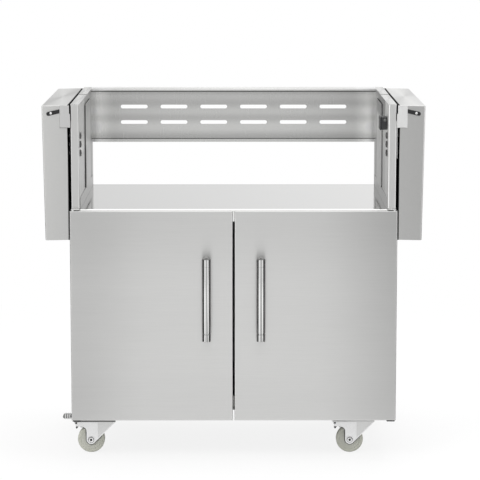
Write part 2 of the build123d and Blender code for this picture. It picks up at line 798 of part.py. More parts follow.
seam = frame_front + cap_seam_at
cap_spans = {"front": (frame_front, seam), "rear": (seam + cap_seam, frame_back)}
hinge_plates = []
pins = []
pivot_pins = []
wall_bolts = []
bumpers = []
for name, side in SIDES.items():
    save(f"side_skin_{name}", [on_side(side_skin(), side)])
    save(f"bay_liner_{name}", [on_side(bay_liner(), side)])
    for place, (y0, y1) in cap_spans.items():
        save(f"top_cap_{place}_{name}", [on_side(top_cap(y0, y1), side)])
    save(f"base_rail_{name}", [on_side(base_rail(), side)])
    save(f"door_skin_{name}", [on_side(door_skin(), side)])
    save(f"door_liner_{name}", [on_side(door_liner(), side)])
    save(f"hinge_blocks_{name}", [on_side(piece, side) for piece in hinge_blocks()])
    save(f"handle_bar_{name}", [on_side(handle_bar(), side)])
    save(f"handle_posts_{name}", [on_side(piece, side) for piece in handle_posts()])
    save(f"shelf_pan_{name}", [on_side(shelf_pan(), side)])
    save(f"shelf_bushes_{name}", [on_side(piece, side) for piece in shelf_bushes()])
    save(f"shelf_brackets_{name}", [on_side(piece, side) for piece in shelf_brackets()])
    save(f"shelf_arms_{name}", [on_side(piece, side) for piece in shelf_arms()])
    hinge_plates += [on_side(piece, side) for piece in (lower_hinge_plate(), upper_hinge_plate())]
    pins += [on_side(piece, side) for piece in hinge_pins()]
    pivot_pins += [on_side(piece, side) for piece in shelf_pins()]
    wall_bolts += [on_side(piece, side) for piece in bracket_bolts()]
    bumpers += [on_side(piece, side) for piece in shelf_bumpers()]
save("hinge_plates", hinge_plates)
save("hinge_pins", pins)
save("shelf_pins", pivot_pins)
save("bracket_bolts", wall_bolts)
save("shelf_bumpers", bumpers)

plates = []
kingpins = []
mounting_bolts = []
for name, side in SIDES.items():
    for place, y in caster_rows().items():
        x = side * caster_x
        braked = place == "front"
        plates.append(caster_plate(x, y))
        kingpins.append(kingpin(x, y))
        mounting_bolts += caster_bolts(x, y)
        save(f"fork_{place}_{name}", [fork(x, y, braked)])
        save(f"axle_{place}_{name}", [axle(x, y)])
        save(f"tyre_{place}_{name}", [tyre(x, y)])
        save(f"hub_{place}_{name}", [hub(x, y)])
        if braked:
            save(f"pedal_{place}_{name}", [pedal(x, y)])
save("caster_plates", plates)
save("kingpins", kingpins)
save("caster_bolts", mounting_bolts)
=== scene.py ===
"""Looks of a stainless steel grill cart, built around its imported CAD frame.

Sizes of pieces are millimetres in the CAD frame: +X right, +Y back, +Z up. Places in the finishes and in the
studio are metres.
"""

import logging
import math
from dataclasses import dataclass
from enum import Enum
from itertools import product
from typing import Any, Callable, Mapping, Sequence

import bmesh
import bpy
from mathutils import Matrix, Vector


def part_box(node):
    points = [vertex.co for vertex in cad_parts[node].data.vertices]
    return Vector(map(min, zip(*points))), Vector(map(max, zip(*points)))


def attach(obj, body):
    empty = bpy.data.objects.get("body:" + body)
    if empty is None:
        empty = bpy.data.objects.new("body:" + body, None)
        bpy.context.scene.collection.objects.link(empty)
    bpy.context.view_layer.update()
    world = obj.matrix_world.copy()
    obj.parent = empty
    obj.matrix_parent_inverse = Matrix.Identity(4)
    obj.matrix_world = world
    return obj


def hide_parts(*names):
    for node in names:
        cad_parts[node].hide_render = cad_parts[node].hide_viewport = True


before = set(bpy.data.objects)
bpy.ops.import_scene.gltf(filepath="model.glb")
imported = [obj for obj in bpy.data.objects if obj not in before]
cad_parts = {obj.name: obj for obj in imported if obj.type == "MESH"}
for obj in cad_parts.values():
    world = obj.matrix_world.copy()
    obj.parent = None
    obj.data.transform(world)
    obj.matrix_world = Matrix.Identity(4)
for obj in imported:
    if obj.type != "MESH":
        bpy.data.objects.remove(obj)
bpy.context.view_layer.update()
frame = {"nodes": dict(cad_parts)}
LOG = logging.getLogger("grill_cart")
MM = 0.001
FULL_TURN = 2.0 * math.pi
UPRIGHT = math.radians(90.0)
WHITE = (1.0, 1.0, 1.0)
WAYS = (-1.0, 1.0)

# Faces of the side walls and the shelves' pivot line, shared by several pieces.
WALL_INNER = 423.0
WALL_OUTER = 447.0
PIVOT_X = 500.0
PIVOT_Z = 966.5

Pair = tuple[float, float]
Point = tuple[float, float, float]
Colour = tuple[float, float, float]
Known = set[bmesh.types.BMVert]


class Named(Enum):
    """An option whose name the CAD nodes spell in small letters."""

    @property
    def label(self) -> str:
        """The name as the CAD nodes spell it."""
        return self.name.lower()


class Side(Named):
    """Left or right half of the cart, with its sign along X."""

    LEFT = -1
    RIGHT = 1


class Row(Named):
    """Front or rear pair of casters, with the swivel axis along Y."""

    FRONT = -183.5
    REAR = 263.5


class Axis(Enum):
    """Axis of a turned or extruded shape, as (across, up, along) directions."""

    X = ((0, 1, 0), (0, 0, 1), (1, 0, 0))
    Y = ((1, 0, 0), (0, 0, 1), (0, 1, 0))
    Z = ((1, 0, 0), (0, 1, 0), (0, 0, 1))

    def at(self, across: float, up: float, along: float) -> Vector:
        """The point at two distances off the axis and one along it."""
        parts = [Vector(part) for part in self.value]
        return parts[0] * across + parts[1] * up + parts[2] * along


class Grain(Enum):
    """Axis along which a sheet was brushed."""

    ALONG_X = 0
    ALONG_Y = 1
    ALONG_Z = 2

    def stretch(self, along: float, across: float) -> Point:
        """Texture scale with one value along the brush and one across it."""
        scale = [across, across, across]
        scale[self.value] = along
        return (scale[0], scale[1], scale[2])


def math_method(operation: str, swapped: bool = False) -> Callable[..., "Value"]:
    """A method that adds one Math node.

    Args:
        operation: what the node does.
        swapped: whether the other value is the node's first input.

    Returns:
        The method, for the class of shader values.
    """
    def method(self: "Value", other: Any = 0.0) -> "Value":
        """The node's result for this value and another."""
        pair = (other, self) if swapped else (self, other)
        return self.nodes.add("ShaderNodeMath", {"operation": operation}, dict(enumerate(pair)))

    return method


class Value:
    """A shader socket that Python operators turn into Math nodes."""

    __add__ = math_method("ADD")
    __radd__ = math_method("ADD", swapped=True)
    __sub__ = math_method("SUBTRACT")
    __rsub__ = math_method("SUBTRACT", swapped=True)
    __mul__ = math_method("MULTIPLY")
    __rmul__ = math_method("MULTIPLY", swapped=True)
    __pow__ = math_method("POWER")
    __abs__ = math_method("ABSOLUTE")
    most = math_method("MAXIMUM")
    least = math_method("MINIMUM")
    angle = math_method("ARCTAN2")

    def __init__(self, nodes: "Nodes", socket: bpy.types.NodeSocket) -> None:
        """Wrap one output socket of a node tree."""
        self.nodes = nodes
        self.socket = socket

    def step(self, low: float, high: float) -> "Value":
        """A smooth rise from 0 at low to 1 at high."""
        inputs = {0: self, 1: low, 2: high, 3: 0.0, 4: 1.0}
        return self.nodes.add("ShaderNodeMapRange", {"interpolation_type": "SMOOTHSTEP"}, inputs)

    def between(self, start: float, rise: float, fall: float, end: float) -> "Value":
        """A smooth hump: 0 up to start, 1 from rise to fall, 0 from end."""
        return self.step(start, rise) - self.step(fall, end)


class Nodes:
    """The node tree of one material or of the world."""

    def __init__(self, owner: bpy.types.ID) -> None:
        """Empty the tree of a material or world."""
        owner.use_nodes = True
        self.owner = owner
        self.tree = owner.node_tree
        self.tree.nodes.clear()

    def add(self, kind: str, settings: Mapping[str, Any] | None = None,
            inputs: Mapping[int | str, Any] | None = None, out: int | str = 0) -> Value:
        """Add one node.

        Args:
            kind: the node's type name.
            settings: properties, which are set first.
            inputs: numbers, colours, vectors or Values by socket name or index.
            out: the output that is wanted.

        Returns:
            That output.
        """
        node = self.tree.nodes.new(kind)
        for name, setting in (settings or {}).items():
            setattr(node, name, setting)
        for key, feed in (inputs or {}).items():
            socket = node.inputs[key]
            if isinstance(feed, Value):
                self.tree.links.new(feed.socket, socket)
            else:
                socket.default_value = (*feed[:3], 1.0) if socket.type == "RGBA" else feed
        return Value(self, node.outputs[out])

    def place(self) -> Value:
        """Object coordinates in metres."""
        return self.add("ShaderNodeTexCoord", out="Object")

    def axes(self, vector: Value) -> tuple[Value, ...]:
        """The three parts of a vector."""
        node = self.add("ShaderNodeSeparateXYZ", None, {0: vector}).socket.node
        return tuple(Value(self, socket) for socket in node.outputs)

    def tint(self, colour: Colour, tone: Value) -> Value:
        """A colour made lighter or darker by a factor."""
        return self.add("ShaderNodeVectorMath", {"operation": "SCALE"}, {0: colour, "Scale": tone})

    def mix(self, factor: Value, first: Any, second: Any) -> Value:
        """A colour between two colours."""
        return self.add("ShaderNodeMix", {"data_type": "RGBA"}, {0: factor, 6: first, 7: second}, out=2)

    def bump(self, height: Value, strength: float, distance: float) -> Value:
        """A normal from a height pattern, with its strength and its depth in metres."""
        inputs = {"Height": height, "Strength": strength, "Distance": distance}
        return self.add("ShaderNodeBump", None, inputs)

    def end(self, kind: str, shader: Value) -> None:
        """Lead a shader to an output node of the given kind."""
        node = self.tree.nodes.new(kind)
        self.tree.links.new(shader.socket, node.inputs["Surface"])

    def surface(self, sockets: Mapping[str, Any]) -> bpy.types.ID:
        """End a material in a Principled shader with the given sockets, and return it."""
        self.end("ShaderNodeOutputMaterial", self.add("ShaderNodeBsdfPrincipled", None, sockets))
        return self.owner


@dataclass(frozen=True)
class Pattern:
    """A noise pattern: features a metre along and across a grain, octaves and the share of the finer ones."""

    along: float
    across: float
    octaves: float
    finer: float

    def on(self, nodes: Nodes, place: Value, grain: Grain = Grain.ALONG_X) -> Value:
        """Lay the pattern out.

        Args:
            nodes: the tree to write in.
            place: the coordinates that it follows.
            grain: the axis it is stretched along.

        Returns:
            Noise about 0, from -0.5 to 0.5.
        """
        scale = grain.stretch(self.along, self.across)
        laid = nodes.add("ShaderNodeMapping", {"vector_type": "POINT"}, {"Vector": place, "Scale": scale})
        inputs = {"Vector": laid, "Scale": 1.0, "Detail": self.octaves, "Roughness": self.finer}
        return nodes.add("ShaderNodeTexNoise", None, inputs) - 0.5


@dataclass(frozen=True)
class BrushedSteel:
    """Sheet steel with a straight brushed grain, faint handling marks, slow tone changes, and painted light
    and shade.

    Painted shade lines are (height, half width), painted shading by height (low, high, change), painted
    shading towards the ends (near, far, change) off the middle, a painted highlight (height, change above it)
    and painted shade patches (front, back, foot, head, loss). Black painted shade lies below a height, within
    a distance of the middle, or as a thin line at a depth.
    """

    name: str
    colour: Colour
    roughness: float
    grain: Grain
    streak: float = 0.08
    smudge: float = 0.03
    anisotropy: float = 0.8
    # Painted light and shade: shade lines, shading by height and towards the ends, a highlight and patches.
    seams: tuple[Pair, ...] = ()
    fades: tuple[Point, ...] = ()
    ends: Point = (1.0, 2.0, 0.0)
    crest: Pair = (9.0, 0.0)
    relief: float = 0.10
    wear: float = 0.05
    # Black painted shade: below a height, within a distance of the middle, or on a thin line at a depth.
    coat_below: float = -1.0
    coat_within: float = -1.0
    coat_behind: float = 9.0
    patches: tuple[tuple[float, float, float, float, float], ...] = ()

    HAIRS = Pattern(9.0, 620.0, 3.0, 0.6)
    BANDS = Pattern(1.4, 110.0, 2.0, 0.55)
    MARKS = Pattern(5.0, 5.0, 4.0, 0.6)
    CLOUDS = Pattern(1.7, 1.7, 1.0, 0.5)
    COAT = (0.012, 0.012, 0.013)
    COAT_EDGE = 0.0005
    LINING = 0.0003
    CREST_EDGE = 0.0004
    PATCH_EDGE = 0.004
    SEAM_TONE = 0.25

    def toned(self, tone: Value, places: tuple[Value, ...]) -> Value:
        """Paint light and shade into a tone from place to place.

        Args:
            tone: the tone of the even sheet.
            places: the places across, in depth and in height.

        Returns:
            The changed tone.
        """
        across, depth, height = places
        # Painted light and shade towards the ends.
        near, far, gain = self.ends
        tone = tone * (1.0 + gain * abs(across).step(near, far))
        # Painted light and shade that change with height.
        for low, high, change in self.fades:
            tone = tone * (1.0 + change * height.step(low, high))
        # A painted highlight above a height.
        crest, shine = self.crest
        tone = tone * (1.0 + shine * height.step(crest - self.CREST_EDGE, crest))
        # Painted shade patches; a negative loss paints light.
        for front, back, foot, head, gloom in self.patches:
            inside = depth.between(front - self.PATCH_EDGE, front, back, back + self.PATCH_EDGE)
            tone = tone * (1.0 - gloom * inside * height.step(foot, head))
        # Painted shade lines at given heights.
        for middle, half in self.seams:
            clear = abs(height - middle).step(0.5 * half, half)
            tone = tone * (self.SEAM_TONE + (1.0 - self.SEAM_TONE) * clear)
        return tone

    def coated(self, places: tuple[Value, ...]) -> Value:
        """Where black painted shade lies.

        Args:
            places: the places across, in depth and in height.

        Returns:
            1 on the painted shade and 0 off it.
        """
        across, depth, height = places
        below, within, behind = self.coat_below, self.coat_within, self.coat_behind
        black_shade = 1.0 - height.step(below - self.COAT_EDGE, below + self.COAT_EDGE)
        black_shade = black_shade.most(1.0 - abs(across).step(within - self.LINING, within + self.LINING))
        shaded_strip = depth.between(behind - self.LINING, behind, behind, behind + self.LINING)
        return black_shade.most(shaded_strip * 4.0).least(1.0)

    def build(self) -> bpy.types.Material:
        """Write the finish as a material."""
        nodes = Nodes(bpy.data.materials.new(self.name))
        place = nodes.place()
        hairs = self.HAIRS.on(nodes, place, self.grain)
        bands = self.BANDS.on(nodes, place, self.grain)
        marks = self.MARKS.on(nodes, place)
        clouds = self.CLOUDS.on(nodes, place)
        tone = 1.0 + hairs * self.streak + bands * (0.3 * self.streak) + (marks + clouds) * self.smudge
        rough = self.roughness + hairs * 0.08 + bands * 0.02 + marks * self.wear
        places = nodes.axes(place)
        # Black painted shade takes the place of the steel where the mask is on.
        black_shade = self.coated(places)
        return nodes.surface({
            "Base Color": nodes.mix(black_shade, nodes.tint(self.colour, self.toned(tone, places)), self.COAT),
            "Metallic": 1.0 - black_shade * 0.9,
            "Roughness": rough + black_shade * 0.2,
            "Anisotropic": self.anisotropy,
            "Anisotropic Rotation": 0.25,
            "Normal": nodes.bump(hairs + bands * 0.4, self.relief, 0.0004),
        })


@dataclass(frozen=True)
class PolishedSteel:
    """Bright steel with hair scratches and faint wipe marks.

    Beyond side_from off the middle it has painted side shades (left, right). Painted shading strips are
    (front, back, change).
    """

    name: str
    colour: Colour
    roughness: float
    grain: Grain
    wipe: float
    side_from: float = 9.0
    side_tones: Pair = (0.8, 0.8)
    strips: tuple[Point, ...] = ()
    # Tint of reflections at grazing angles; near black, it paints shade along the sides of a round bar.
    rim: float = 1.0

    HAIRS = Pattern(14.0, 900.0, 3.0, 0.65)
    WIPES = Pattern(5.0, 26.0, 4.0, 0.6)
    CLOUDS = Pattern(2.3, 2.3, 2.0, 0.5)
    SMOOTHEST = 0.03
    SIDE_EDGE = 0.0005
    MIDDLE = 0.01
    STRIP_EDGE = 0.002

    def build(self) -> bpy.types.Material:
        """Write the finish as a material."""
        nodes = Nodes(bpy.data.materials.new(self.name))
        place = nodes.place()
        hairs = self.HAIRS.on(nodes, place, self.grain)
        wipes = self.WIPES.on(nodes, place, self.grain)
        clouds = self.CLOUDS.on(nodes, place)
        rough = (self.roughness + wipes * self.wipe + hairs * 0.05 + clouds * 0.04).most(self.SMOOTHEST)
        across, depth, _ = nodes.axes(place)
        # Painted shade beyond side_from, with its own tone on each side.
        side = abs(across).step(self.side_from - self.SIDE_EDGE, self.side_from)
        left, right = self.side_tones
        dimmer = (1.0 - left) + (left - right) * across.step(-self.MIDDLE, self.MIDDLE)
        tone = (1.0 + hairs * 0.06 + wipes * 0.04 + clouds * 0.05) * (1.0 - side * dimmer)
        # Painted light and shade in strips across the depth.
        for front, back, gain in self.strips:
            inside = depth.between(front - self.STRIP_EDGE, front, back, back + self.STRIP_EDGE)
            tone = tone * (1.0 + gain * inside)
        return nodes.surface({
            "Base Color": nodes.tint(self.colour, tone),
            "Metallic": 1.0,
            "Roughness": rough + side * 0.3,
            "Specular Tint": (self.rim, self.rim, self.rim),
            "Normal": nodes.bump(hairs, 0.04, 0.0003),
        })


@dataclass(frozen=True)
class ZincPlate:
    """Bright plated steel: a fine crystalline mottle over rolled sheet."""

    name: str
    colour: Colour
    roughness: float

    CRYSTALS = 260.0
    CLOUDS = Pattern(18.0, 18.0, 3.0, 0.6)
    GRIT = Pattern(900.0, 900.0, 2.0, 0.5)

    def build(self) -> bpy.types.Material:
        """Write the finish as a material."""
        nodes = Nodes(bpy.data.materials.new(self.name))
        place = nodes.place()
        cells = nodes.add("ShaderNodeTexVoronoi", {"feature": "F1"},
                          {"Vector": place, "Scale": self.CRYSTALS}, out="Distance")
        cloud = self.CLOUDS.on(nodes, place)
        grit = self.GRIT.on(nodes, place)
        return nodes.surface({
            "Base Color": nodes.tint(self.colour, 1.0 + (cells - 0.4) * 0.08 + cloud * 0.14 + grit * 0.05),
            "Metallic": 1.0,
            "Roughness": self.roughness + cloud * 0.14 + cells * 0.06,
            "Normal": nodes.bump(grit + cells * 0.6, 0.07, 0.0003),
        })


@dataclass(frozen=True)
class DarkCoat:
    """Black oxide on steel, rubbed a little through to the metal."""

    name: str
    colour: Colour
    bare: Colour
    roughness: float

    GRIT = Pattern(700.0, 700.0, 3.0, 0.6)
    RUB = Pattern(220.0, 70.0, 4.0, 0.65)
    WORN_FROM = (0.17, 0.34)

    def build(self) -> bpy.types.Material:
        """Write the finish as a material."""
        nodes = Nodes(bpy.data.materials.new(self.name))
        place = nodes.place()
        grit = self.GRIT.on(nodes, place)
        worn = self.RUB.on(nodes, place, Grain.ALONG_Z).step(*self.WORN_FROM)
        return nodes.surface({
            "Base Color": nodes.mix(worn * 0.6, self.colour, self.bare),
            "Metallic": 0.35 + worn * 0.5,
            "Roughness": self.roughness + grit * 0.14 - worn * 0.1,
            "Normal": nodes.bump(grit, 0.15, 0.0003),
        })


@dataclass(frozen=True)
class Moulding:
    """Moulded rubber or plastic with a fine skin and a slight colour drift."""

    name: str
    colour: Colour
    dust: Colour
    roughness: float
    skin: float = 1100.0
    drift: float = 0.10
    dusty: float = 0.35

    CLOUDS = Pattern(34.0, 34.0, 4.0, 0.6)
    FILM_FROM = (-0.05, 0.35)

    def build(self) -> bpy.types.Material:
        """Write the finish as a material."""
        nodes = Nodes(bpy.data.materials.new(self.name))
        place = nodes.place()
        skin = Pattern(self.skin, self.skin, 3.0, 0.55).on(nodes, place)
        cloud = self.CLOUDS.on(nodes, place)
        base = nodes.tint(self.colour, 1.0 + cloud * self.drift + skin * 0.08)
        return nodes.surface({
            "Base Color": nodes.mix(cloud.step(*self.FILM_FROM) * self.dusty, base, self.dust),
            "Roughness": self.roughness + cloud * 0.10 + skin * 0.10,
            "Normal": nodes.bump(skin, 0.12, 0.0003),
        })


Finish = BrushedSteel | PolishedSteel | ZincPlate | DarkCoat | Moulding


class Palette:
    """The cart's finishes, each made once when it is first asked for."""

    STEEL: Colour = (0.70, 0.70, 0.69)
    # Painted shade patches of the bay liners (front, back, foot, head, loss): the field's top and the rear
    # corner darker, the front lighter.
    LEFT_SHADE = ((-0.034, 0.160, 0.92, 0.965, 0.25), (0.165, 0.290, -1.0, 0.0, 0.42),
                  (-0.268, -0.085, -1.0, 0.0, -0.12))
    RIGHT_SHADE = ((-0.15, 0.160, 0.925, 0.945, 0.52), (0.165, 0.290, -1.0, 0.0, 0.45),
                   (-0.268, -0.160, -1.0, 0.0, -0.16))
    # Painted light and shade bands up the back panel (low, high, change).
    PANEL_WAVE = ((0.8428, 0.8436, -0.26), (0.846, 0.873, 0.385), (0.880, 0.904, -0.215),
                  (0.905, 0.922, 0.165), (0.926, 0.948, -0.19), (0.949, 0.966, 0.11), (0.970, 0.978, -0.10))
    # Shelf pans: black painted shade on the inner edge in the slot by the wall and on a thin line at the
    # pan's rear rim.
    SHELF: dict[str, float] = {"smudge": 0.006, "relief": 0.04, "wear": 0.008, "coat_within": 0.4548,
                               "coat_behind": 0.337}

    FINISHES: dict[str, Finish] = {
        # The door's ends paint shade towards its outer edges; its fades paint light above 0.12-0.30 m and
        # shade above 0.48-0.68 m.
        "door": BrushedSteel("door_brushed", (0.735, 0.735, 0.726), 0.30, Grain.ALONG_X,
                             ends=(0.22, 0.45, -0.11), fades=((0.12, 0.30, 0.055), (0.48, 0.68, -0.08))),
        # The left and right copies of shelf, wall, liner and bracket steel differ in tone as painted light
        # and shade: the left copies are darker.
        "shelf_left": BrushedSteel("shelf_left_brushed", (0.66, 0.66, 0.65), 0.31, Grain.ALONG_Y, **SHELF),
        "shelf_right": BrushedSteel("shelf_right_brushed", STEEL, 0.31, Grain.ALONG_Y, **SHELF),
        "wall_left": BrushedSteel("wall_left_brushed", STEEL, 0.30, Grain.ALONG_Z),
        "wall_right": BrushedSteel("wall_right_brushed", (0.86, 0.86, 0.85), 0.30, Grain.ALONG_Z),
        # Bay liners: their fades paint light above two heights, and their shade patches paint shade and light
        # as above.
        "liner_left": BrushedSteel("liner_left_brushed", (0.29, 0.29, 0.286), 0.42, Grain.ALONG_Z,
                                   anisotropy=0.0, patches=LEFT_SHADE,
                                   fades=((0.722, 0.738, 0.43), (0.838, 0.862, 0.36))),
        "liner_right": BrushedSteel("liner_right_brushed", (0.58, 0.58, 0.572), 0.42, Grain.ALONG_Z,
                                    anisotropy=0.0, patches=RIGHT_SHADE, fades=((0.838, 0.862, 0.06),)),
        # The panel's shade lines paint the shadow under its top lip and above its foot; its ends paint light
        # towards the walls; its highlight paints light along the top bend.
        "panel": BrushedSteel("panel_brushed", (0.705, 0.705, 0.695), 0.26, Grain.ALONG_Z, 0.006, 0.012,
                              seams=((0.9834, 0.0027), (0.8425, 0.0014)), fades=PANEL_WAVE,
                              ends=(0.352, 0.415, 0.58), crest=(0.9865, 0.74), relief=0.015, wear=0.02),
        # The cap's patch paints a shadow line where the rear cap steps over the front cap.
        "cap": BrushedSteel("cap_brushed", STEEL, 0.28, Grain.ALONG_Y,
                            patches=((0.0716, 0.0756, -1.0, 0.0, 0.45),)),
        # The left bracket is painted black below its cheek as shade in the slot and under the cheek.
        "bracket_left": BrushedSteel("bracket_left_satin", (0.59, 0.59, 0.585), 0.45, Grain.ALONG_Z,
                                     anisotropy=0.0, coat_below=0.9278),
        "bracket_right": BrushedSteel("bracket_right_satin", (0.84, 0.84, 0.835), 0.45, Grain.ALONG_Z,
                                      anisotropy=0.0),
        "mill": BrushedSteel("mill_sheet", (0.55, 0.55, 0.55), 0.38, Grain.ALONG_X, 0.06, 0.09),
        # Black painted shade on the lower hinge plates, below 0.30 m.
        "hinge": BrushedSteel("hinge_plate", (0.74, 0.74, 0.73), 0.40, Grain.ALONG_X, anisotropy=0.0,
                              coat_below=0.30),
        # Deck: painted shade beyond 0.4213 m off the middle, darker on the left; a painted light strip at the
        # front and a painted shade strip at the back.
        "deck": PolishedSteel("deck_polished", (0.66, 0.66, 0.652), 0.08, Grain.ALONG_X, 0.04, 0.4213,
                              (0.54, 0.76), ((-0.30, -0.267, 0.50), (0.296, 0.33, -0.15))),
        # The bar's near-black rim tint is painted shade along its sides.
        "bar": PolishedSteel("bar_polished", (0.56, 0.56, 0.555), 0.07, Grain.ALONG_Z, 0.02, rim=0.02),
        "zinc": ZincPlate("zinc_bright", (0.83, 0.83, 0.83), 0.33),
        # A darker copy of the bright zinc: painted shade on the forks' creased plates, the right crown folds
        # and the brake pedals.
        "zinc_dull": ZincPlate("zinc_dull", (0.70, 0.70, 0.695), 0.38),
        # Dark zinc of nuts, screw heads and small parts; also painted shade on the left crown folds and the
        # left field returns.
        "nut": ZincPlate("nut_dark_zinc", (0.20, 0.20, 0.197), 0.34),
        # Black oxide of the shelf arms; also painted shade in the axles' bores and grooves.
        "black": DarkCoat("arm_black", (0.018, 0.018, 0.019), (0.25, 0.25, 0.25), 0.5),
        "tyre": Moulding("tyre_rubber", (0.52, 0.525, 0.46), (0.60, 0.60, 0.55), 0.72),
        "hub": Moulding("hub_plastic", (0.52, 0.525, 0.465), (0.60, 0.60, 0.56), 0.55, 800.0, 0.06, 0.2),
        "box": Moulding("box_plastic", (0.03, 0.03, 0.032), (0.10, 0.10, 0.10), 0.48, 900.0, 0.3, 0.3),
        "catch": Moulding("catch_plastic", (0.72, 0.72, 0.70), (0.60, 0.60, 0.58), 0.5, 900.0, 0.05, 0.15),
        "bumper": Moulding("bumper_rubber", (0.05, 0.05, 0.052), (0.14, 0.14, 0.13), 0.8),
    }

    SLOTS: dict[str, str] = {
        "bar": "polished_bar", "zinc": "zinc_steel", "zinc_dull": "zinc_steel", "nut": "zinc_steel",
        "tyre": "grey_rubber", "hub": "grey_plastic", "box": "black_plastic", "bumper": "black_plastic",
        "cap": "brushed_steel", "shelf_left": "brushed_steel", "shelf_right": "brushed_steel",
        "mill": "plain_steel",
    }

    # Finishes of the CAD nodes that keep their own shape, by the start of a node's name.
    NODES: dict[str, str] = {
        "back_panel": "panel", "base_rail": "mill", "bay_liner_left": "liner_left",
        "bay_liner_right": "liner_right", "cabinet_back": "mill", "cabinet_floor": "mill",
        "caster_plates": "zinc", "deck": "deck", "door_liner": "door", "door_skin": "door",
        "hinge_blocks": "zinc", "hinge_pins": "zinc", "hinge_plates": "hinge", "kingpins": "zinc",
        "magnet_catches": "catch", "shelf_arms": "black", "shelf_brackets_left": "bracket_left",
        "shelf_brackets_right": "bracket_right", "shelf_bushes": "catch", "shelf_pan_left": "shelf_left",
        "shelf_pan_right": "shelf_right", "side_skin_left": "wall_left", "side_skin_right": "wall_right",
        "top_cap_rear": "cap",
    }

    def __init__(self) -> None:
        """Start with no material made."""
        self.made: dict[str, bpy.types.Material] = {}

    def __getitem__(self, name: str) -> bpy.types.Material:
        """The material of a finish, by the finish's key."""
        if name not in self.made:
            self.made[name] = self.FINISHES[name].build()
        return self.made[name]

    def dress(self) -> None:
        """Put its finish on every material slot of each CAD node that keeps its own shape."""
        for node, (start, finish) in product(frame["nodes"], self.NODES.items()):
            if f"{node}_".startswith(f"{start}_"):
                for slot in frame["nodes"][node].material_slots:
                    slot.material = self[finish]
                LOG.info("dressed %s as %s", node, finish)


def arc(u: float, v: float, radius: float, start: float, end: float, steps: int = 8) -> list[Pair]:
    """Points along an arc, with angles in degrees."""
    angles = [math.radians(start + (end - start) * step / steps) for step in range(steps + 1)]
    return [(u + radius * math.cos(angle), v + radius * math.sin(angle)) for angle in angles]


def both_halves(half: Sequence[Pair]) -> list[Pair]:
    """A profile and its mirror image beyond its last point."""
    return [*half, *((r, -a) for r, a in reversed(half))]


def rounded(low: Pair, high: Pair, radius: float) -> list[Pair]:
    """Points round a rectangle with rounded corners.

    Args:
        low: its lowest corner.
        high: its highest corner.
        radius: the rounding.

    Returns:
        The points in order.
    """
    left, foot = low[0] + radius, low[1] + radius
    right, head = high[0] - radius, high[1] - radius
    centres = ((right, head), (left, head), (left, foot), (right, foot))
    return [point for turn, (u, v) in enumerate(centres)
            for point in arc(u, v, radius, 90.0 * turn, 90.0 * turn + 90.0, 4)]


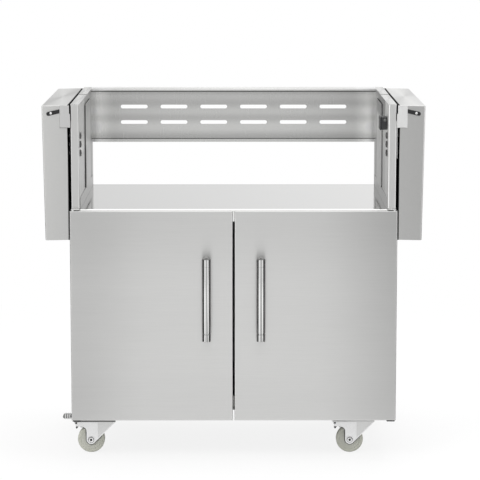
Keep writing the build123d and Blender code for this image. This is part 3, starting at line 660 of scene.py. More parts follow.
class Shape:
    """A mesh under construction, in millimetres."""

    WELD = 0.002
    LEVEL = 0.001
    SHARP = math.radians(32.0)
    FLATNESS = 90

    def __init__(self) -> None:
        """Start with an empty mesh."""
        self.bm = bmesh.new()

    def _fresh(self, known: Known) -> list[bmesh.types.BMVert]:
        """The vertices added after the known ones."""
        return [vert for vert in self.bm.verts if vert not in known]

    def _edges(self, known: Known) -> list[bmesh.types.BMEdge]:
        """The edges added after the known vertices."""
        return list(dict.fromkeys(edge for vert in self._fresh(known) for edge in vert.link_edges))

    def _finish(self, known: Known) -> None:
        """Close and orient what was added after the known vertices."""
        bmesh.ops.remove_doubles(self.bm, verts=self._fresh(known), dist=self.WELD)
        faces = dict.fromkeys(face for vert in self._fresh(known) for face in vert.link_faces)
        bmesh.ops.recalc_face_normals(self.bm, faces=list(faces))

    def lathe(self, axis: Axis, centre: Pair, profile: Sequence[Pair], segments: int, origin: float = 0.0,
              way: float = 1.0) -> None:
        """Turn a profile about an axis.

        Args:
            axis: the axis it turns about.
            centre: where the axis stands across and up.
            profile: (radius, place along the axis) points.
            segments: sides of the turned shape.
            origin: where along the axis those places start.
            way: +1 or -1, the way they run.
        """
        known = set(self.bm.verts)
        line = [self.bm.verts.new(axis.at(centre[0] + r, centre[1], origin + way * a)) for r, a in profile]
        edges = [self.bm.edges.new(pair) for pair in zip(line, line[1:])]
        bmesh.ops.spin(self.bm, geom=line + edges, cent=axis.at(*centre, 0.0), axis=axis.at(0.0, 0.0, 1.0),
                       angle=FULL_TURN, steps=segments, use_merge=True)
        self._finish(known)

    def slab(self, axis: Axis, outline: Sequence[Pair], start: float, end: float, bevel: float = 0.0,
             segments: int = 2) -> None:
        """Extrude an outline along an axis.

        Args:
            axis: the axis it is carried along.
            outline: its (across, up) points in order.
            start: one end along the axis.
            end: the other end.
            bevel: rounding of the edges at both ends.
            segments: faces in that rounding.
        """
        known = set(self.bm.verts)
        low, high = sorted((start, end))
        base = self.bm.faces.new([self.bm.verts.new(axis.at(u, v, low)) for u, v in outline])
        carried = bmesh.ops.extrude_face_region(self.bm, geom=[base])["geom"]
        top = [part for part in carried if isinstance(part, bmesh.types.BMVert)]
        bmesh.ops.translate(self.bm, verts=top, vec=axis.at(0.0, 0.0, high - low))
        self._finish(known)
        if bevel > 0.0:
            along = axis.at(0.0, 0.0, 1.0)
            rim = [edge for edge in self._edges(known)
                   if abs((edge.verts[1].co - edge.verts[0].co).dot(along)) < self.LEVEL]
            self.round(rim, bevel, segments)

    def block(self, corner: Point, opposite: Point, bevel: float, segments: int = 2) -> None:
        """A box with all edges rounded.

        Args:
            corner: one of its corners.
            opposite: the corner across from it.
            bevel: the rounding.
            segments: faces in the rounding.
        """
        known = set(self.bm.verts)
        (x0, x1), (y0, y1), (z0, z1) = (sorted(ends) for ends in zip(corner, opposite))
        self.slab(Axis.Z, [(x0, y0), (x1, y0), (x1, y1), (x0, y1)], z0, z1)
        self.round(self._edges(known), bevel, segments)

    def round(self, edges: list[bmesh.types.BMEdge], bevel: float, segments: int) -> None:
        """Bevel some edges."""
        bmesh.ops.bevel(self.bm, geom=edges, offset=bevel, affect="EDGES", segments=segments, profile=0.5,
                        material=-1, clamp_overlap=True)

    def turn(self, centre: Point, axis: Axis, degrees: float) -> None:
        """Turn everything made so far about an axis through a point."""
        turned = Matrix.Rotation(math.radians(degrees), 3, axis.name)
        bmesh.ops.rotate(self.bm, cent=centre, matrix=turned, verts=self.bm.verts)

    def place(self, name: str, body: str, palette: Palette, finishes: Sequence[str], *nodes: str,
              pick: Callable[[Vector], int] | None = None) -> None:
        """Put the finished mesh in the scene.

        Args:
            name: the piece's name.
            body: the CAD body that carries it.
            palette: the cart's materials.
            finishes: the finishes of its faces, the main one first.
            nodes: CAD nodes that it stands for.
            pick: says which finish the face with a given middle has.
        """
        if pick is not None:
            for face in self.bm.faces:
                face.material_index = int(pick(face.calc_center_median()))
        bmesh.ops.transform(self.bm, matrix=Matrix.Scale(MM, 4), verts=self.bm.verts)
        mesh = bpy.data.meshes.new(name)
        self.bm.to_mesh(mesh)
        self.bm.free()
        mesh.shade_smooth()
        mesh.set_sharp_from_angle(angle=self.SHARP)
        for key in finishes:
            mesh.materials.append(palette[key])
        piece = bpy.data.objects.new(name, mesh)
        bpy.context.scene.collection.objects.link(piece)
        weights = piece.modifiers.new("flat_faces", "WEIGHTED_NORMAL")
        weights.weight = self.FLATNESS
        weights.keep_sharp = True
        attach(piece, body)
        palette.SLOTS[finishes[0]]
        if nodes:
            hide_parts(*nodes)
        LOG.info("built %s with %d faces", name, len(mesh.polygons))


def bolt_head(shape: Shape, axis: Axis, centre: Pair, seat: float, way: float, radius: float,
              height: float) -> None:
    """A hexagon head on a washer.

    Args:
        shape: the mesh it is added to.
        axis: the bolt's axis.
        centre: where the axis stands across and up.
        seat: the face it is tightened on, along the axis.
        way: +1 or -1, away from that face.
        radius: the washer's radius.
        height: the height of washer and head together.
    """
    washer = 0.25 * height
    disc = [(0.0, 0.0), (radius, 0.0), (radius, 0.7 * washer), (0.93 * radius, washer), (0.0, washer)]
    shape.lathe(axis, centre, disc, 24, seat, way)
    corners = arc(*centre, 0.82 * radius, 30.0, 330.0, 5)
    shape.slab(axis, corners, seat + way * 0.9 * washer, seat + way * height, 0.08 * radius, 1)


@dataclass
class Assembly:
    """A sub-assembly dressed from the cart's palette."""

    palette: Palette


@dataclass
class Sided(Assembly):
    """A sub-assembly on one side of the cart."""

    side: Side


@dataclass
class Handle(Sided):
    """A door's bar handle: turned ends with seam grooves, on two posts. Seams are (depth, half width)."""

    offset: float = 74.7
    depth: float = -340.5
    low: float = 344.6
    high: float = 572.6
    radius: float = 12.0
    edge: float = 0.8
    end: float = 21.0
    lower_seam: Pair = (1.4, 1.6)
    upper_seam: Pair = (0.3, 0.5)
    post: float = 7.0
    door_front: float = -296.5
    door_back: float = -276.5
    screw: Pair = (6.0, 2.2)

    def seam(self, place: float, seam: Pair) -> list[Pair]:
        """A groove in the bar's outline.

        Args:
            place: its middle along the bar.
            seam: its depth and half width.

        Returns:
            (radius, height) points.
        """
        depth, half = seam
        r, floor, flat = self.radius, self.radius - depth, 0.6 * half
        return [(r, place - half), (floor, place - flat), (floor, place + flat), (r, place + half)]

    def profile(self) -> list[Pair]:
        """Half of the bar's outline, from its foot to its head."""
        r, e, foot, head = self.radius, self.edge, self.low, self.high
        points = [(0.0, foot), (r - e, foot), (r - 0.3 * e, foot + 0.3 * e), (r, foot + e)]
        points += self.seam(foot + self.end, self.lower_seam)
        points += self.seam(head - self.end, self.upper_seam)
        return points + [(r, head - e), (r - 0.3 * e, head - 0.3 * e), (r - e, head), (0.0, head)]

    def build(self) -> None:
        """Add the handle to its door."""
        x = self.side.value * self.offset
        shape = Shape()
        shape.lathe(Axis.Z, (x, self.depth), self.profile(), 64)
        r, front = self.post, self.door_front
        foot = [(0.0, self.depth), (r, self.depth), (r, front - 2.0), (r + 0.3, front - 0.9),
                (r + 1.2, front), (0.0, front)]
        for z in (self.low + self.end / 2, self.high - self.end / 2):
            shape.lathe(Axis.Y, (x, z), foot, 32)
            bolt_head(shape, Axis.Y, (x, z), self.door_back, 1.0, *self.screw)
        label = self.side.label
        shape.place(f"handle_{label}", f"door_{label}", self.palette, ("bar", "nut"), f"handle_bar_{label}",
                    f"handle_posts_{label}", pick=lambda p: int(p.z > self.high - self.edge))


@dataclass
class Caster(Sided):
    """One swivel caster: folded fork, wheel, riveted axle, and a ribbed pedal where it has a brake."""

    row: Row
    across: float = 364.5
    trail: float = 37.4
    axle_z: float = 38.0
    wheel: float = 38.0
    wheel_half: float = 13.0
    shoulder: float = 5.0
    groove: tuple[Pair, ...] = ((0.0, -4.9), (0.7, -4.5), (0.7, -3.5), (0.0, -3.1))
    hub: float = 28.0
    hub_profile: tuple[Pair, ...] = ((4.05, -16.0), (9.4, -16.0), (10.0, -15.4), (10.5, -12.9), (11.0, -12.6),
                                     (27.2, -12.6), (28.0, -12.2))
    room: float = 16.5
    sheet: float = 2.5
    boss: float = 13.0
    rear: float = 47.0
    rake: float = 3.8
    crease: float = 19.4
    lap: float = 0.5
    crown_top: float = 98.0
    crown_sheet: float = 3.0
    crown_round: float = 5.0
    crown_nose: float = 9.0
    crown_edge: float = 0.4
    bend: float = 9.4
    skirt: float = 74.5
    hem: float = 4.6
    # Dark sheets edging the fork's legs paint the fork's shadow on the wheel.
    guard: float = 1.8
    guard_reach: float = 30.0
    guard_skin: Pair = (0.02, 0.45)
    head: float = 9.4
    axle: float = 4.0
    # Radii of the painted shade in the bore and in the rolled end's groove.
    bore: float = 3.05
    roll_groove: Pair = (7.1, 8.15)
    pedal_back: float = 42.0
    pedal_pivot: float = 86.0
    pedal_reach: float = 80.5
    tongue_half: float = 15.5
    shoe_half: float = 12.0
    pad_length: float = 26.0
    pad_middle: float = 102.0
    pad_half: Pair = (15.0, 6.5)
    pad_ribs: Point = (8.4, 14.7, 20.6)
    pad_inset: float = 1.2
    rib_half: float = 1.75
    rib_round: float = 2.6

    @property
    def label(self) -> str:
        """The caster's place as the CAD nodes spell it."""
        return f"{self.row.label}_{self.side.label}"

    @property
    def axle_x(self) -> float:
        """The axle's place along X."""
        return self.side.value * self.across - self.trail

    @property
    def half(self) -> float:
        """Half the width over the fork's legs."""
        return self.room + self.sheet

    @property
    def leg_top(self) -> float:
        """Height at which a leg bends over into the crown."""
        return self.crown_top - self.bend

    def build(self) -> None:
        """Add the caster's pieces."""
        self.build_fork()
        self.build_guards()
        self.build_wheel()
        self.build_axle()
        if self.row is Row.FRONT:
            self.build_pedal()

    def toe(self, x: float, edge: float = 0.0) -> float:
        """Height of a leg's sloping front edge at a distance from the axle."""
        return self.axle_z + x - math.sqrt(2.0) * (self.boss - edge)

    def leg_outline(self) -> list[Pair]:
        """A fork leg's outline from its rear end to the crease in front of the axle."""
        x, b = self.axle_x, self.boss
        back = x - self.rear
        points = [(back, self.leg_top), (back + self.rake, self.skirt + 1.5)]
        points += arc(x - 2.0 * b, self.skirt - b, b, 92.0, 0.0, 9)
        points += arc(x, self.axle_z, b, 180.0, 315.0, 14)
        return points + [(x + self.crease, self.toe(self.crease)), (x + self.crease, self.leg_top)]

    def build_fork(self) -> None:
        """A crown plate folded down into two legs, each creased in front of the axle."""
        y, half, top = self.row.value, self.half, self.leg_top
        x0, x1 = self.axle_x - self.rear, self.axle_x + top - self.toe(0.0)
        crease, brow = self.axle_x + self.crease, self.toe(self.crease - self.lap)
        start, middle = crease - self.lap, half - self.bend
        crown = middle + self.crown_edge
        gusset = [(start, top), (start, brow), (x1, top)]
        hem = [(start, brow), (x1, top), (x1 - self.hem, top), (start, brow + self.hem)]
        fold = arc(middle, top, self.bend, 0.0, 90.0) + arc(middle, top, self.bend - self.sheet, 90.0, 0.0)
        shape = Shape()
        shape.slab(Axis.Z, rounded((x0, y - crown), (x1 + self.crown_nose, y + crown), self.crown_round),
                   self.crown_top - self.crown_sheet, self.crown_top, 0.6)
        for way in WAYS:
            face = y + way * half
            shape.slab(Axis.Y, self.leg_outline(), face, face - way * self.sheet, 0.7)
            shape.slab(Axis.Y, gusset, face - way * 1.1, face - way * self.sheet, 0.3)
            shape.slab(Axis.Y, hem, face - way * 0.2, face - way * 1.2, 0.3)
            shape.slab(Axis.X, [(y + way * v, w) for v, w in fold], x0, x1, 0.4, 1)

        def pick(p: Vector) -> int:
            """The fold and the plate between the crease and the hem, both painted in shade."""
            if p.z > top + 0.2:
                return 1
            return 2 * int(p.x > crease + 0.3 and p.z > self.toe(p.x - self.axle_x) + self.hem + 0.4)

        # The fold paints the shade under the door's bottom edge, darker on the left.
        shaded_fold_finish = "nut" if self.side is Side.LEFT else "zinc_dull"
        shape.place(f"caster_fork_{self.label}", f"fork_{self.label}", self.palette,
                    ("zinc", shaded_fold_finish, "zinc_dull"), f"fork_{self.label}", pick=pick)

    def build_guards(self) -> None:
        """Dark sheets between the fork's legs and the wheel, edging the legs: the fork's painted shadow on
        the wheel.
        """
        y, x, b, g, reach = self.row.value, self.axle_x, self.boss, self.guard, self.guard_reach
        back = x - 2.0 * b
        outline = [(back - 4.0, self.leg_top), (back - 4.0, self.skirt - g)]
        outline += arc(back, self.skirt - b, b - g, 90.0, 0.0, 9)
        outline += arc(x, self.axle_z, b + g, 180.0, 315.0, 14)
        outline += [(x + reach, self.toe(reach, -g)), (x + reach, self.leg_top)]
        near, far = self.guard_skin
        shape = Shape()
        for way in WAYS:
            shape.slab(Axis.Y, outline, y + way * (self.room - near), y + way * (self.room - far), 0.1, 1)
        shape.place(f"thread_guards_{self.label}", f"fork_{self.label}", self.palette, ("box",))

    def build_wheel(self) -> None:
        """A grooved tread on a moulded centre with a hub boss."""
        y, w, h, s = self.row.value, self.wheel, self.wheel_half, self.shoulder
        centre = (self.axle_x, self.axle_z)
        side = [(self.hub, 0.5 - h), (self.hub + 0.6, -h), (w - 6.5, -h)]
        side += arc(w - s, s - h, s, -80.0, -4.0, 6) + [(w - depth, place) for depth, place in self.groove]
        shape = Shape()
        shape.lathe(Axis.Y, centre, both_halves(side) + [side[0]], 72, y)
        shape.place(f"wheel_tread_{self.label}", f"wheel_{self.label}", self.palette, ("tyre",),
                    f"tyre_{self.label}")
        hub = Shape()
        hub.lathe(Axis.Y, centre, both_halves(self.hub_profile) + [self.hub_profile[0]], 64, y)
        hub.place(f"wheel_centre_{self.label}", f"wheel_{self.label}", self.palette, ("hub",),
                  f"hub_{self.label}")

    def build_axle(self) -> None:
        """A tubular axle rolled over washers at both ends."""
        y, x, z, half = self.row.value, self.axle_x, self.axle_z, self.half
        ring = [(0.0, 1.2), (2.6, 1.2), (3.2, 3.8), (4.2, 4.7), (5.8, 5.0), (7.0, 4.2), (7.4, 2.4),
                (8.0, 2.4), (8.2, 3.2), (8.9, 3.2), (self.head, 2.4), (self.head, 0.0), (0.0, 0.0)]
        shape = Shape()
        for way in WAYS:
            shape.lathe(Axis.Y, (x, z), ring, 36, y + way * half, way)
        shape.lathe(Axis.Y, (x, z), both_halves([(0.0, -half), (self.axle, -half)]), 24, y)
        inner, outer = self.roll_groove

        def pick(p: Vector) -> int:
            """Painted shade in the bore and in the groove round the rolled end."""
            reach = math.hypot(p.x - x, p.z - z)
            return int(abs(p.y - y) > half and (reach < self.bore or inner < reach < outer))

        shape.place(f"axle_rivet_{self.label}", f"fork_{self.label}", self.palette, ("zinc", "black"),
                    f"axle_{self.label}", pick=pick)

    def build_pedal(self) -> None:
        """A brake pedal: pivot barrel, tongue, shoe, and a rounded pad with upright ribs."""
        y, z, middle = self.row.value, self.pedal_pivot, self.pad_middle
        pivot, tip = self.axle_x - self.pedal_back, self.axle_x - self.pedal_reach
        root = tip + self.pad_length - 6.0
        wide, tall = self.pad_half
        barrel = both_halves([(0.0, -19.0), (3.0, -19.0), (3.0, -16.0), (5.0, -15.6)])
        tongue = [(root, middle - 5.6), (root, middle - 1.0), (root + 8.0, middle - 2.0),
                  (pivot + 3.0, z + 4.9), (pivot + 3.0, z - 3.0), (pivot - 4.0, z - 4.0),
                  (root + 8.0, middle - 6.6)]
        shoe = [(pivot - 2.5, z), (pivot + 2.5, z), (pivot + 5.5, z - 13.0), (pivot + 1.0, z - 18.5),
                (pivot - 1.5, z - 16.5), (pivot - 0.5, z - 10.0)]
        shape = Shape()
        shape.lathe(Axis.Y, (pivot, z), barrel, 24, y)
        shape.slab(Axis.Y, tongue, y - self.tongue_half, y + self.tongue_half, 0.8)
        shape.slab(Axis.Y, shoe, y - self.shoe_half, y + self.shoe_half, 0.8)
        for place in self.pad_ribs:
            reach = tall * math.sqrt(1.0 - (1.0 - min(place / tall, 1.0)) ** 2)
            side, top = wide - 0.1 - (tall - reach) * 0.4, reach - 0.1
            rib = rounded((y - side, middle - top), (y + side, middle + top), self.rib_round)
            shape.slab(Axis.X, rib, tip + place - self.rib_half, tip + place + self.rib_half, 0.5)
        label = self.side.label
        # The pedal's darker zinc copy is painted shade under the door.
        shape.place(f"brake_pedal_{label}", f"pedal_{label}", self.palette, ("zinc_dull", "box"),
                    f"pedal_front_{label}", pick=lambda p: int(p.z < z - 5.2))
        wide, tall = wide - self.pad_inset, tall - self.pad_inset
        pad = Shape()
        pad.block((tip + 1.0, y - wide, middle - tall),
                  (tip + self.pad_length - 0.4, y + wide, middle + tall), 4.6, 5)
        pad.place(f"pedal_pad_{label}", f"pedal_{label}", self.palette, ("nut", "box"),
                  pick=lambda p: int(p.x > root + 2.4))


@dataclass
class Fasteners(Assembly):
    """Bolts, rivets and bumpers: the small turned pieces of the fixed frame."""

    bracket: float = 3.0
    nut: Pair = (10.6, 4.2)
    bracket_head: Pair = (5.5, 3.0)
    bolt: float = 4.0
    rivet: float = 3.2
    back_face: float = 315.5
    rivet_x: float = 405.0
    rivet_heights: tuple[float, ...] = tuple(165.0 + 64.0 * step for step in range(9))
    bolt_rows: Point = (902.5, 878.5, 854.5)
    bolt_columns: Pair = (-244.5, 308.5)
    pin_ends: tuple[Pair, Pair] = ((-277.8, -1.0), (341.8, 1.0))
    pin_profile: tuple[Pair, ...] = ((0.0, 2.5), (1.5, 2.35), (2.7, 1.8), (3.5, 0.9), (3.8, 0.0), (3.0, 0.0),
                                     (3.0, -18.1), (4.5, -18.1), (4.5, -19.6), (3.0, -19.6), (2.4, -20.0),
                                     (0.0, -20.0))
    caster_spread: Pair = (35.0, 25.0)
    caster_seats: Pair = (107.0, 112.5)
    caster_head: Pair = (6.5, 5.0)
    bumper: float = 7.0

    def build(self) -> None:
        """Add every fastener."""
        self.build_bracket_bolts()
        self.build_shelf_pins()
        self.build_caster_bolts()
        self.build_bumpers()
        self.build_back_rivets()

    def build_back_rivets(self) -> None:
        """Domed blind rivets down both edges of the cabinet's back."""
        shares = [(1.0, 0.0), (0.95, 0.5), (0.6, 1.2), (0.3, 1.3), (0.25, 0.9), (0.0, 0.9)]
        dome = [(share * self.rivet, a) for share, a in shares]
        shape = Shape()
        for side, z in product(Side, self.rivet_heights):
            shape.lathe(Axis.Y, (side.value * self.rivet_x, z), dome, 16, self.back_face)
        shape.place("back_rivets", "cart", self.palette, ("zinc",))

    def build_bracket_bolts(self) -> None:
        """Through bolts of the shelf brackets, with flanged nuts in the bay."""
        outside = WALL_OUTER + self.bracket
        nut_end = WALL_INNER - self.nut[1]
        shank = [(0.0, outside), (self.bolt, outside), (self.bolt, nut_end), (self.bolt - 0.7, nut_end - 0.8),
                 (0.0, nut_end - 0.8)]
        shape = Shape()
        for side, y, z in product(Side, self.bolt_columns, self.bolt_rows):
            way = float(side.value)
            bolt_head(shape, Axis.X, (y, z), way * outside, way, *self.bracket_head)
            bolt_head(shape, Axis.X, (y, z), way * WALL_INNER, -way, *self.nut)
            shape.lathe(Axis.X, (y, z), shank, 16, 0.0, way)
        shape.place("bracket_bolts_hex", "cart", self.palette, ("nut",), "bracket_bolts")

    def build_shelf_pins(self) -> None:
        """Pivot pins with domed heads outside and spring rings inside."""
        shape = Shape()
        for side, (seat, way) in product(Side, self.pin_ends):
            shape.lathe(Axis.Y, (side.value * PIVOT_X, PIVOT_Z), self.pin_profile, 28, seat, way)
        shape.place("shelf_pins_domed", "cart", self.palette, ("zinc",), "shelf_pins")

    def build_caster_bolts(self) -> None:
        """Mounting bolts of the casters, with nuts inside the rails."""
        low, high = self.caster_seats
        dx, dy = self.caster_spread
        shank = [(0.0, low - 1.0), (self.bolt, low - 1.0), (self.bolt, high + 1.0), (0.0, high + 1.0)]
        shape = Shape()
        for side, row, right, back in product(Side, Row, WAYS, WAYS):
            centre = (side.value * Caster.across + right * dx, row.value + back * dy)
            bolt_head(shape, Axis.Z, centre, low, -1.0, *self.caster_head)
            bolt_head(shape, Axis.Z, centre, high, 1.0, *self.caster_head)
            shape.lathe(Axis.Z, centre, shank, 12)
        shape.place("caster_bolts_hex", "cart", self.palette, ("zinc",), "caster_bolts")

    def build_bumpers(self) -> None:
        """Rubber bumpers with a rounded, dished face where a folded shelf lands."""
        low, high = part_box("shelf_bumpers")
        z = (low[2] + high[2]) / 2 / MM
        r, reach = self.bumper, high[0] / MM - WALL_OUTER
        outline = [(0.0, 0.0), (r, 0.0), (r, reach - 1.2), (r - 0.4, reach - 0.3), (r - 1.2, reach),
                   (3.4, reach), (2.6, reach - 0.8), (0.0, reach - 0.8)]
        shape = Shape()
        for side, y in product(Side, (low[1] / MM + r, high[1] / MM - r)):
            shape.lathe(Axis.X, (y, z), outline, 24, side.value * WALL_OUTER, side.value)
        shape.place("shelf_bumpers_dished", "cart", self.palette, ("bumper",), "shelf_bumpers")


@dataclass
class JunctionBox(Assembly):
    """Moulded box on the right bay liner: lid, gland and screws."""

    low: Point = (403.0, -230.5, 915.5)
    high: Point = (WALL_INNER, -180.5, 952.5)
    lid: float = 5.0
    inset: float = 1.2
    neck: float = 2.0
    screw: float = 6.0

    def build(self) -> None:
        """Add the box."""
        (x0, y0, z0), (x1, y1, z1) = self.low, self.high
        i, n, s = self.inset, self.neck, self.screw
        lid = x0 + self.lid
        gland = [(0.0, -5.5), (2.4, -5.5), (2.8, -5.0), (2.8, -3.4), (3.8, -3.0), (4.4, -2.4), (4.4, 1.6),
                 (0.0, 1.6)]
        head = [(0.0, 0.4), (1.0, 0.4), (1.2, -0.3), (2.4, -0.3), (2.8, 0.4)]
        shape = Shape()
        shape.block((lid + 0.8, y0 + i, z0 + i), (x1, y1 - i, z1 - i), 1.8, 3)
        shape.block(self.low, (lid, y1, z1), 2.0, 3)
        shape.block((lid - 0.2, y0 + n, z0 + n), (lid + 1.0, y1 - n, z1 - n), 0.2, 1)
        shape.lathe(Axis.Y, ((x0 + x1) / 2 + 4.6, z1 - 9.0), gland, 28, y0)
        for z, y in product((z0 + s, z1 - s), (y0 + s, y1 - s)):
            shape.lathe(Axis.X, (y, z), head, 16, x0)
        shape.place("junction_box_moulded", "cart", self.palette, ("box", "nut"), "junction_box",
                    pick=lambda p: int(p.y < y0 - 0.1))


@dataclass
class TopCap(Sided):
    """Front cap of a side wall, which the rear cap overlaps with a small step."""

    front: float = -272.5
    step: float = 75.6
    low: float = 989.4
    high: float = 990.3
    edge: float = 0.4

    def build(self) -> None:
        """Add the cap."""
        sign, label = self.side.value, self.side.label
        shape = Shape()
        shape.block((sign * WALL_INNER, self.front, self.low), (sign * WALL_OUTER, self.step, self.high),
                    self.edge)
        shape.place(f"front_cap_{label}", "cart", self.palette, ("cap",), f"top_cap_front_{label}")


@dataclass
class FieldReturn(Sided):
    """Flange folded back inside the slit of a bay liner's raised field."""

    face: float = 420.0
    back: float = 424.2
    front: float = -22.0
    sheet: float = 1.5
    low: float = 737.0
    high: float = 967.0
    edge: float = 0.4

    def build(self) -> None:
        """Add the flange."""
        sign, rear = self.side.value, self.front + self.sheet
        shape = Shape()
        shape.block((sign * self.face, self.front, self.low), (sign * self.back, rear, self.high), self.edge)
        # The left flange is painted dark as shade in the slit; the right one keeps the mill sheet.
        finish = "nut" if self.side is Side.LEFT else "mill"
        shape.place(f"field_return_{self.side.label}", "cart", self.palette, (finish,))


@dataclass
class ShelfRibs(Sided):
    """Hat-shaped stiffeners inside a folding shelf's pan."""

    face: float = 523.4
    depth: float = 11.0
    foot: float = 22.0
    crown: float = 13.0
    edge: float = 2.0
    heights: Pair = (870.0, 730.0)
    front: float = -262.0
    back: float = 326.0
    lean: float = 1.12

    def build(self) -> None:
        """Add the stiffeners."""
        sign, label = self.side.value, self.side.label
        face, top = sign * self.face, sign * (self.face - self.depth)
        shape = Shape()
        for z in self.heights:
            hat = [(face, z - self.foot), (top, z - self.crown), (top, z + self.crown), (face, z + self.foot)]
            shape.slab(Axis.Y, hat, self.front, self.back, self.edge)
        shape.turn((sign * PIVOT_X, 0.0, PIVOT_Z), Axis.Y, sign * self.lean)
        shape.place(f"shelf_ribs_{label}", f"shelf_{label}", self.palette, (f"shelf_{label}",))


class Ray(Enum):
    """Kinds of ray that the floor, card and world tell apart."""

    CAMERA = "Is Camera Ray"
    GLOSSY = "Is Glossy Ray"
    THROUGH = "Is Transmission Ray"

    def of(self, nodes: Nodes) -> Value:
        """1 on this kind of ray and 0 on others."""
        return nodes.add("ShaderNodeLightPath", out=self.value)


@dataclass
class Studio:
    """Floor, light and camera, none of them part of the cart. Arcs are degrees off the front."""

    floor_radius: float = 3.4
    floor_colour: Colour = (0.86, 0.86, 0.86)
    floor_glow: float = 0.82
    floor_fade: Pair = (0.9, 2.4)
    floor_ahead: Pair = (0.2, 0.9)
    foot_fall: float = 0.20
    foot_span: Pair = (0.8, 2.4)
    fill: float = 0.55
    front: float = 0.86
    left_dip: float = 0.26
    left_span: Pair = (0.30, 0.60)
    right_dip: float = 0.68
    right_span: Pair = (0.33, 0.95)
    side_level: float = 1.62
    left_wide: Pair = (0.66, 1.10)
    right_wide: Pair = (0.90, 1.30)
    level_span: Pair = (0.35, 0.8)
    box_arc: tuple[float, float, float, float] = (28.0, 42.0, 74.0, 86.0)
    box_gain: float = 0.30
    dark_arc: tuple[float, float, float, float] = (86.0, 94.0, 108.0, 122.0)
    dark_depth: float = 0.55
    rear_arc: Pair = (110.0, 135.0)
    rear: float = 0.86
    rear_lean: float = 1.1
    rear_range: Pair = (0.6, 1.08)
    overhead: float = 0.50
    overhead_span: Pair = (0.5, 0.85)
    card_level: float = 0.91
    card_place: float = -3.2
    card_size: Pair = (4.4, 2.2)
    flag_place: float = 1.2
    flag_depths: Pair = (-0.95, -0.25)
    flag_height: float = 0.70
    flag_colour: Colour = (0.01, 0.01, 0.01)
    lamps: tuple[tuple[str, Point, Pair, float], ...] = (
        ("key_softbox", (-2.6, -3.6, 3.6), (2.4, 2.4), 120.0),
        ("side_softbox", (3.4, -2.4, 2.8), (1.8, 2.6), 50.0),
        ("top_softbox", (0.3, 0.4, 4.2), (3.0, 2.2), 85.0),
        ("rear_softbox", (0.6, 4.2, 3.0), (3.2, 1.8), 60.0))
    lamp_aim: Point = (0.0, 0.0, 0.5)
    lens: float = 175.7
    sensor: float = 36.0
    pitch: float = 8.02
    yaw: float = 0.157
    eye: Point = (0.0, -6.6665, 1.517)

    def build(self) -> None:
        """Set up the whole studio."""
        bpy.context.scene.view_settings.view_transform = "Standard"
        self.world()
        self.floor()
        self.card()
        for side in Side:
            self.flag(side)
        for name, place, size, power in self.lamps:
            self.lamp(name, place, size, power)
        self.camera()

    def rays(self, nodes: Nodes) -> tuple[Value, Value]:
        """1 on rays from the camera, and 1 on rays that a mirror or a clear sheet sends on."""
        return Ray.CAMERA.of(nodes), Ray.GLOSSY.of(nodes).most(Ray.THROUGH.of(nodes))

    def world(self) -> None:
        """White to the camera, a soft room with bright and dark sides in reflections, dimmer as fill."""
        world = bpy.data.worlds.new("studio")
        bpy.context.scene.world = world
        nodes = Nodes(world)
        x, y, z = nodes.axes(nodes.add("ShaderNodeTexCoord", out="Generated"))
        azimuth = abs(x).angle(y * -1.0)
        level = 1.0 - abs(z).step(*self.level_span)
        box = azimuth.between(*map(math.radians, self.box_arc))
        dark = azimuth.between(*map(math.radians, self.dark_arc))
        behind = azimuth.step(*map(math.radians, self.rear_arc))
        low, high = self.rear_range
        rear = (self.rear + x * self.rear_lean).most(low).least(high)
        shown = self.front + level * (box * self.box_gain - dark * self.dark_depth)
        shown = shown + behind * (rear - self.front) + z.step(*self.overhead_span) * self.overhead
        camera, mirrored = self.rays(nodes)
        strength = camera + (1.0 - camera) * (mirrored * shown + (1.0 - mirrored) * self.fill)
        shader = nodes.add("ShaderNodeBackground", None, {"Color": WHITE, "Strength": strength})
        nodes.end("ShaderNodeOutputWorld", shader)

    def front_level(self, nodes: Nodes) -> Value:
        """Brightness in front of the cart, which dips beside it and rises far to both sides.

        Args:
            nodes: the tree to write in.

        Returns:
            The brightness that reflections see.
        """
        right = nodes.axes(nodes.place())[0]
        left = right * -1.0
        level = self.front * (1.0 - self.left_dip * left.step(*self.left_span))
        level = level * (1.0 - self.right_dip * right.step(*self.right_span))
        wide = left.step(*self.left_wide).most(right.step(*self.right_wide))
        return level + wide * (self.side_level - level)

    def stage_mesh(self, name: str, bm: bmesh.types.BMesh) -> tuple[bpy.types.Object, Nodes]:
        """Put a studio surface in the scene.

        Args:
            name: the object's name.
            bm: its shape, which is used up.

        Returns:
            The object and the node tree of its material.
        """
        mesh = bpy.data.meshes.new(name)
        bm.to_mesh(mesh)
        bm.free()
        surface = bpy.data.objects.new(name, mesh)
        bpy.context.scene.collection.objects.link(surface)
        material = bpy.data.materials.new(name)
        mesh.materials.append(material)
        return surface, Nodes(material)

    def floor(self) -> None:
        """A pale round floor that keeps the shadow and fades to white away from the cart."""
        bm = bmesh.new()
        bmesh.ops.create_circle(bm, cap_ends=True, segments=96, radius=self.floor_radius)
        _, nodes = self.stage_mesh("floor", bm)
        x, y, _ = nodes.axes(nodes.place())
        reach = (x * x + y * y) ** 0.5
        ahead = y * -1.0
        fade = self.floor_glow + (1.0 - self.floor_glow) * reach.step(*self.floor_fade)
        camera, mirrored = self.rays(nodes)
        foot = 1.0 - self.foot_fall * (1.0 - ahead.step(*self.foot_span))
        shown = 1.0 + ahead.step(*self.floor_ahead) * (self.front_level(nodes) * foot - 1.0)
        level = camera + (1.0 - camera) * shown
        matt = nodes.add("ShaderNodeBsdfDiffuse", None, {"Color": self.floor_colour})
        white = nodes.add("ShaderNodeEmission", None, {"Color": WHITE, "Strength": level})
        shader = nodes.add("ShaderNodeMixShader", None, {0: fade * camera.most(mirrored), 1: matt, 2: white})
        nodes.end("ShaderNodeOutputMaterial", shader)

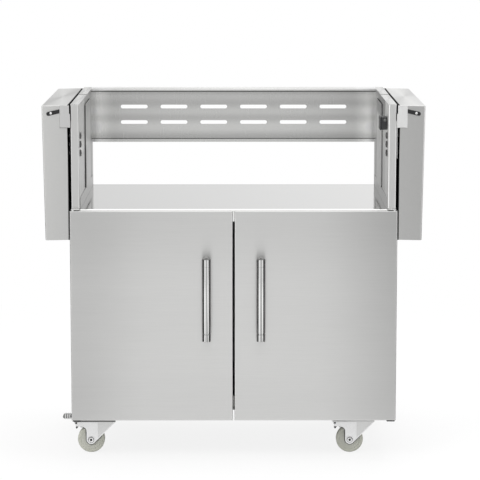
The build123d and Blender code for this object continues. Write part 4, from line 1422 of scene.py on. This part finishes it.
    def mirror_sheet(self, name: str, centre: Point, axis: Axis, size: Pair) -> Nodes:
        """An upright sheet that only reflections show.

        Args:
            name: the object's name.
            centre: its middle.
            axis: the axis about which it was turned upright.
            size: its two lengths before it was turned.

        Returns:
            The node tree of its material.
        """
        bm = bmesh.new()
        bmesh.ops.create_grid(bm, x_segments=1, y_segments=1, size=0.5)
        turned = Matrix.Translation(centre) @ Matrix.Rotation(UPRIGHT, 4, axis.name)
        bmesh.ops.transform(bm, matrix=turned @ Matrix.Diagonal((*size, 1.0, 1.0)), verts=bm.verts)
        sheet, nodes = self.stage_mesh(name, bm)
        sheet.visible_camera = False
        sheet.visible_diffuse = False
        sheet.visible_shadow = False
        return nodes

    def card(self) -> None:
        """A white card in front of the cart."""
        centre = (0.0, self.card_place, self.card_size[1] / 2)
        nodes = self.mirror_sheet("front_card", centre, Axis.X, self.card_size)
        inputs = {"Color": WHITE, "Strength": self.front_level(nodes) * self.card_level}
        nodes.end("ShaderNodeOutputMaterial", nodes.add("ShaderNodeEmission", None, inputs))

    def flag(self, side: Side) -> None:
        """A black flag on one side of the doors that darkens the edges of round bars."""
        front, back = self.flag_depths
        centre = (side.value * self.flag_place, (front + back) / 2, self.flag_height / 2)
        nodes = self.mirror_sheet(f"flag_{side.label}", centre, Axis.Y, (self.flag_height, back - front))
        shader = nodes.add("ShaderNodeBsdfDiffuse", None, {"Color": self.flag_colour})
        nodes.end("ShaderNodeOutputMaterial", shader)

    def lamp(self, name: str, place: Point, size: Pair, power: float) -> None:
        """One soft box that faces the cart and stays out of its reflections.

        Args:
            name: the lamp's name.
            place: where it stands.
            size: its width and height.
            power: its power in watts.
        """
        light = bpy.data.lights.new(name, "AREA")
        light.shape = "RECTANGLE"
        light.size, light.size_y = size
        light.energy = power
        lamp = bpy.data.objects.new(name, light)
        lamp.visible_glossy = False
        lamp.location = place
        aim = Vector(self.lamp_aim) - Vector(place)
        lamp.rotation_euler = aim.to_track_quat("-Z", "Y").to_euler()
        bpy.context.scene.collection.objects.link(lamp)

    def camera(self) -> None:
        """The photograph's viewpoint."""
        data = bpy.data.cameras.new("camera")
        data.sensor_width = self.sensor
        data.lens = self.lens
        camera = bpy.data.objects.new("camera", data)
        camera.location = self.eye
        camera.rotation_euler = (math.radians(90.0 - self.pitch), 0.0, math.radians(-self.yaw))
        bpy.context.scene.collection.objects.link(camera)
        bpy.context.scene.camera = camera


def main() -> None:
    """Build the studio and the cart's looks in order."""
    logging.basicConfig(level=logging.INFO, format="%(name)s: %(message)s")
    palette = Palette()
    Studio().build()
    palette.dress()
    for side in Side:
        for kind in (Handle, TopCap, FieldReturn, ShelfRibs):
            kind(palette, side).build()
        for row in Row:
            Caster(palette, side, row).build()
    Fasteners(palette).build()
    JunctionBox(palette).build()


if __name__ == "__main__":
    main()
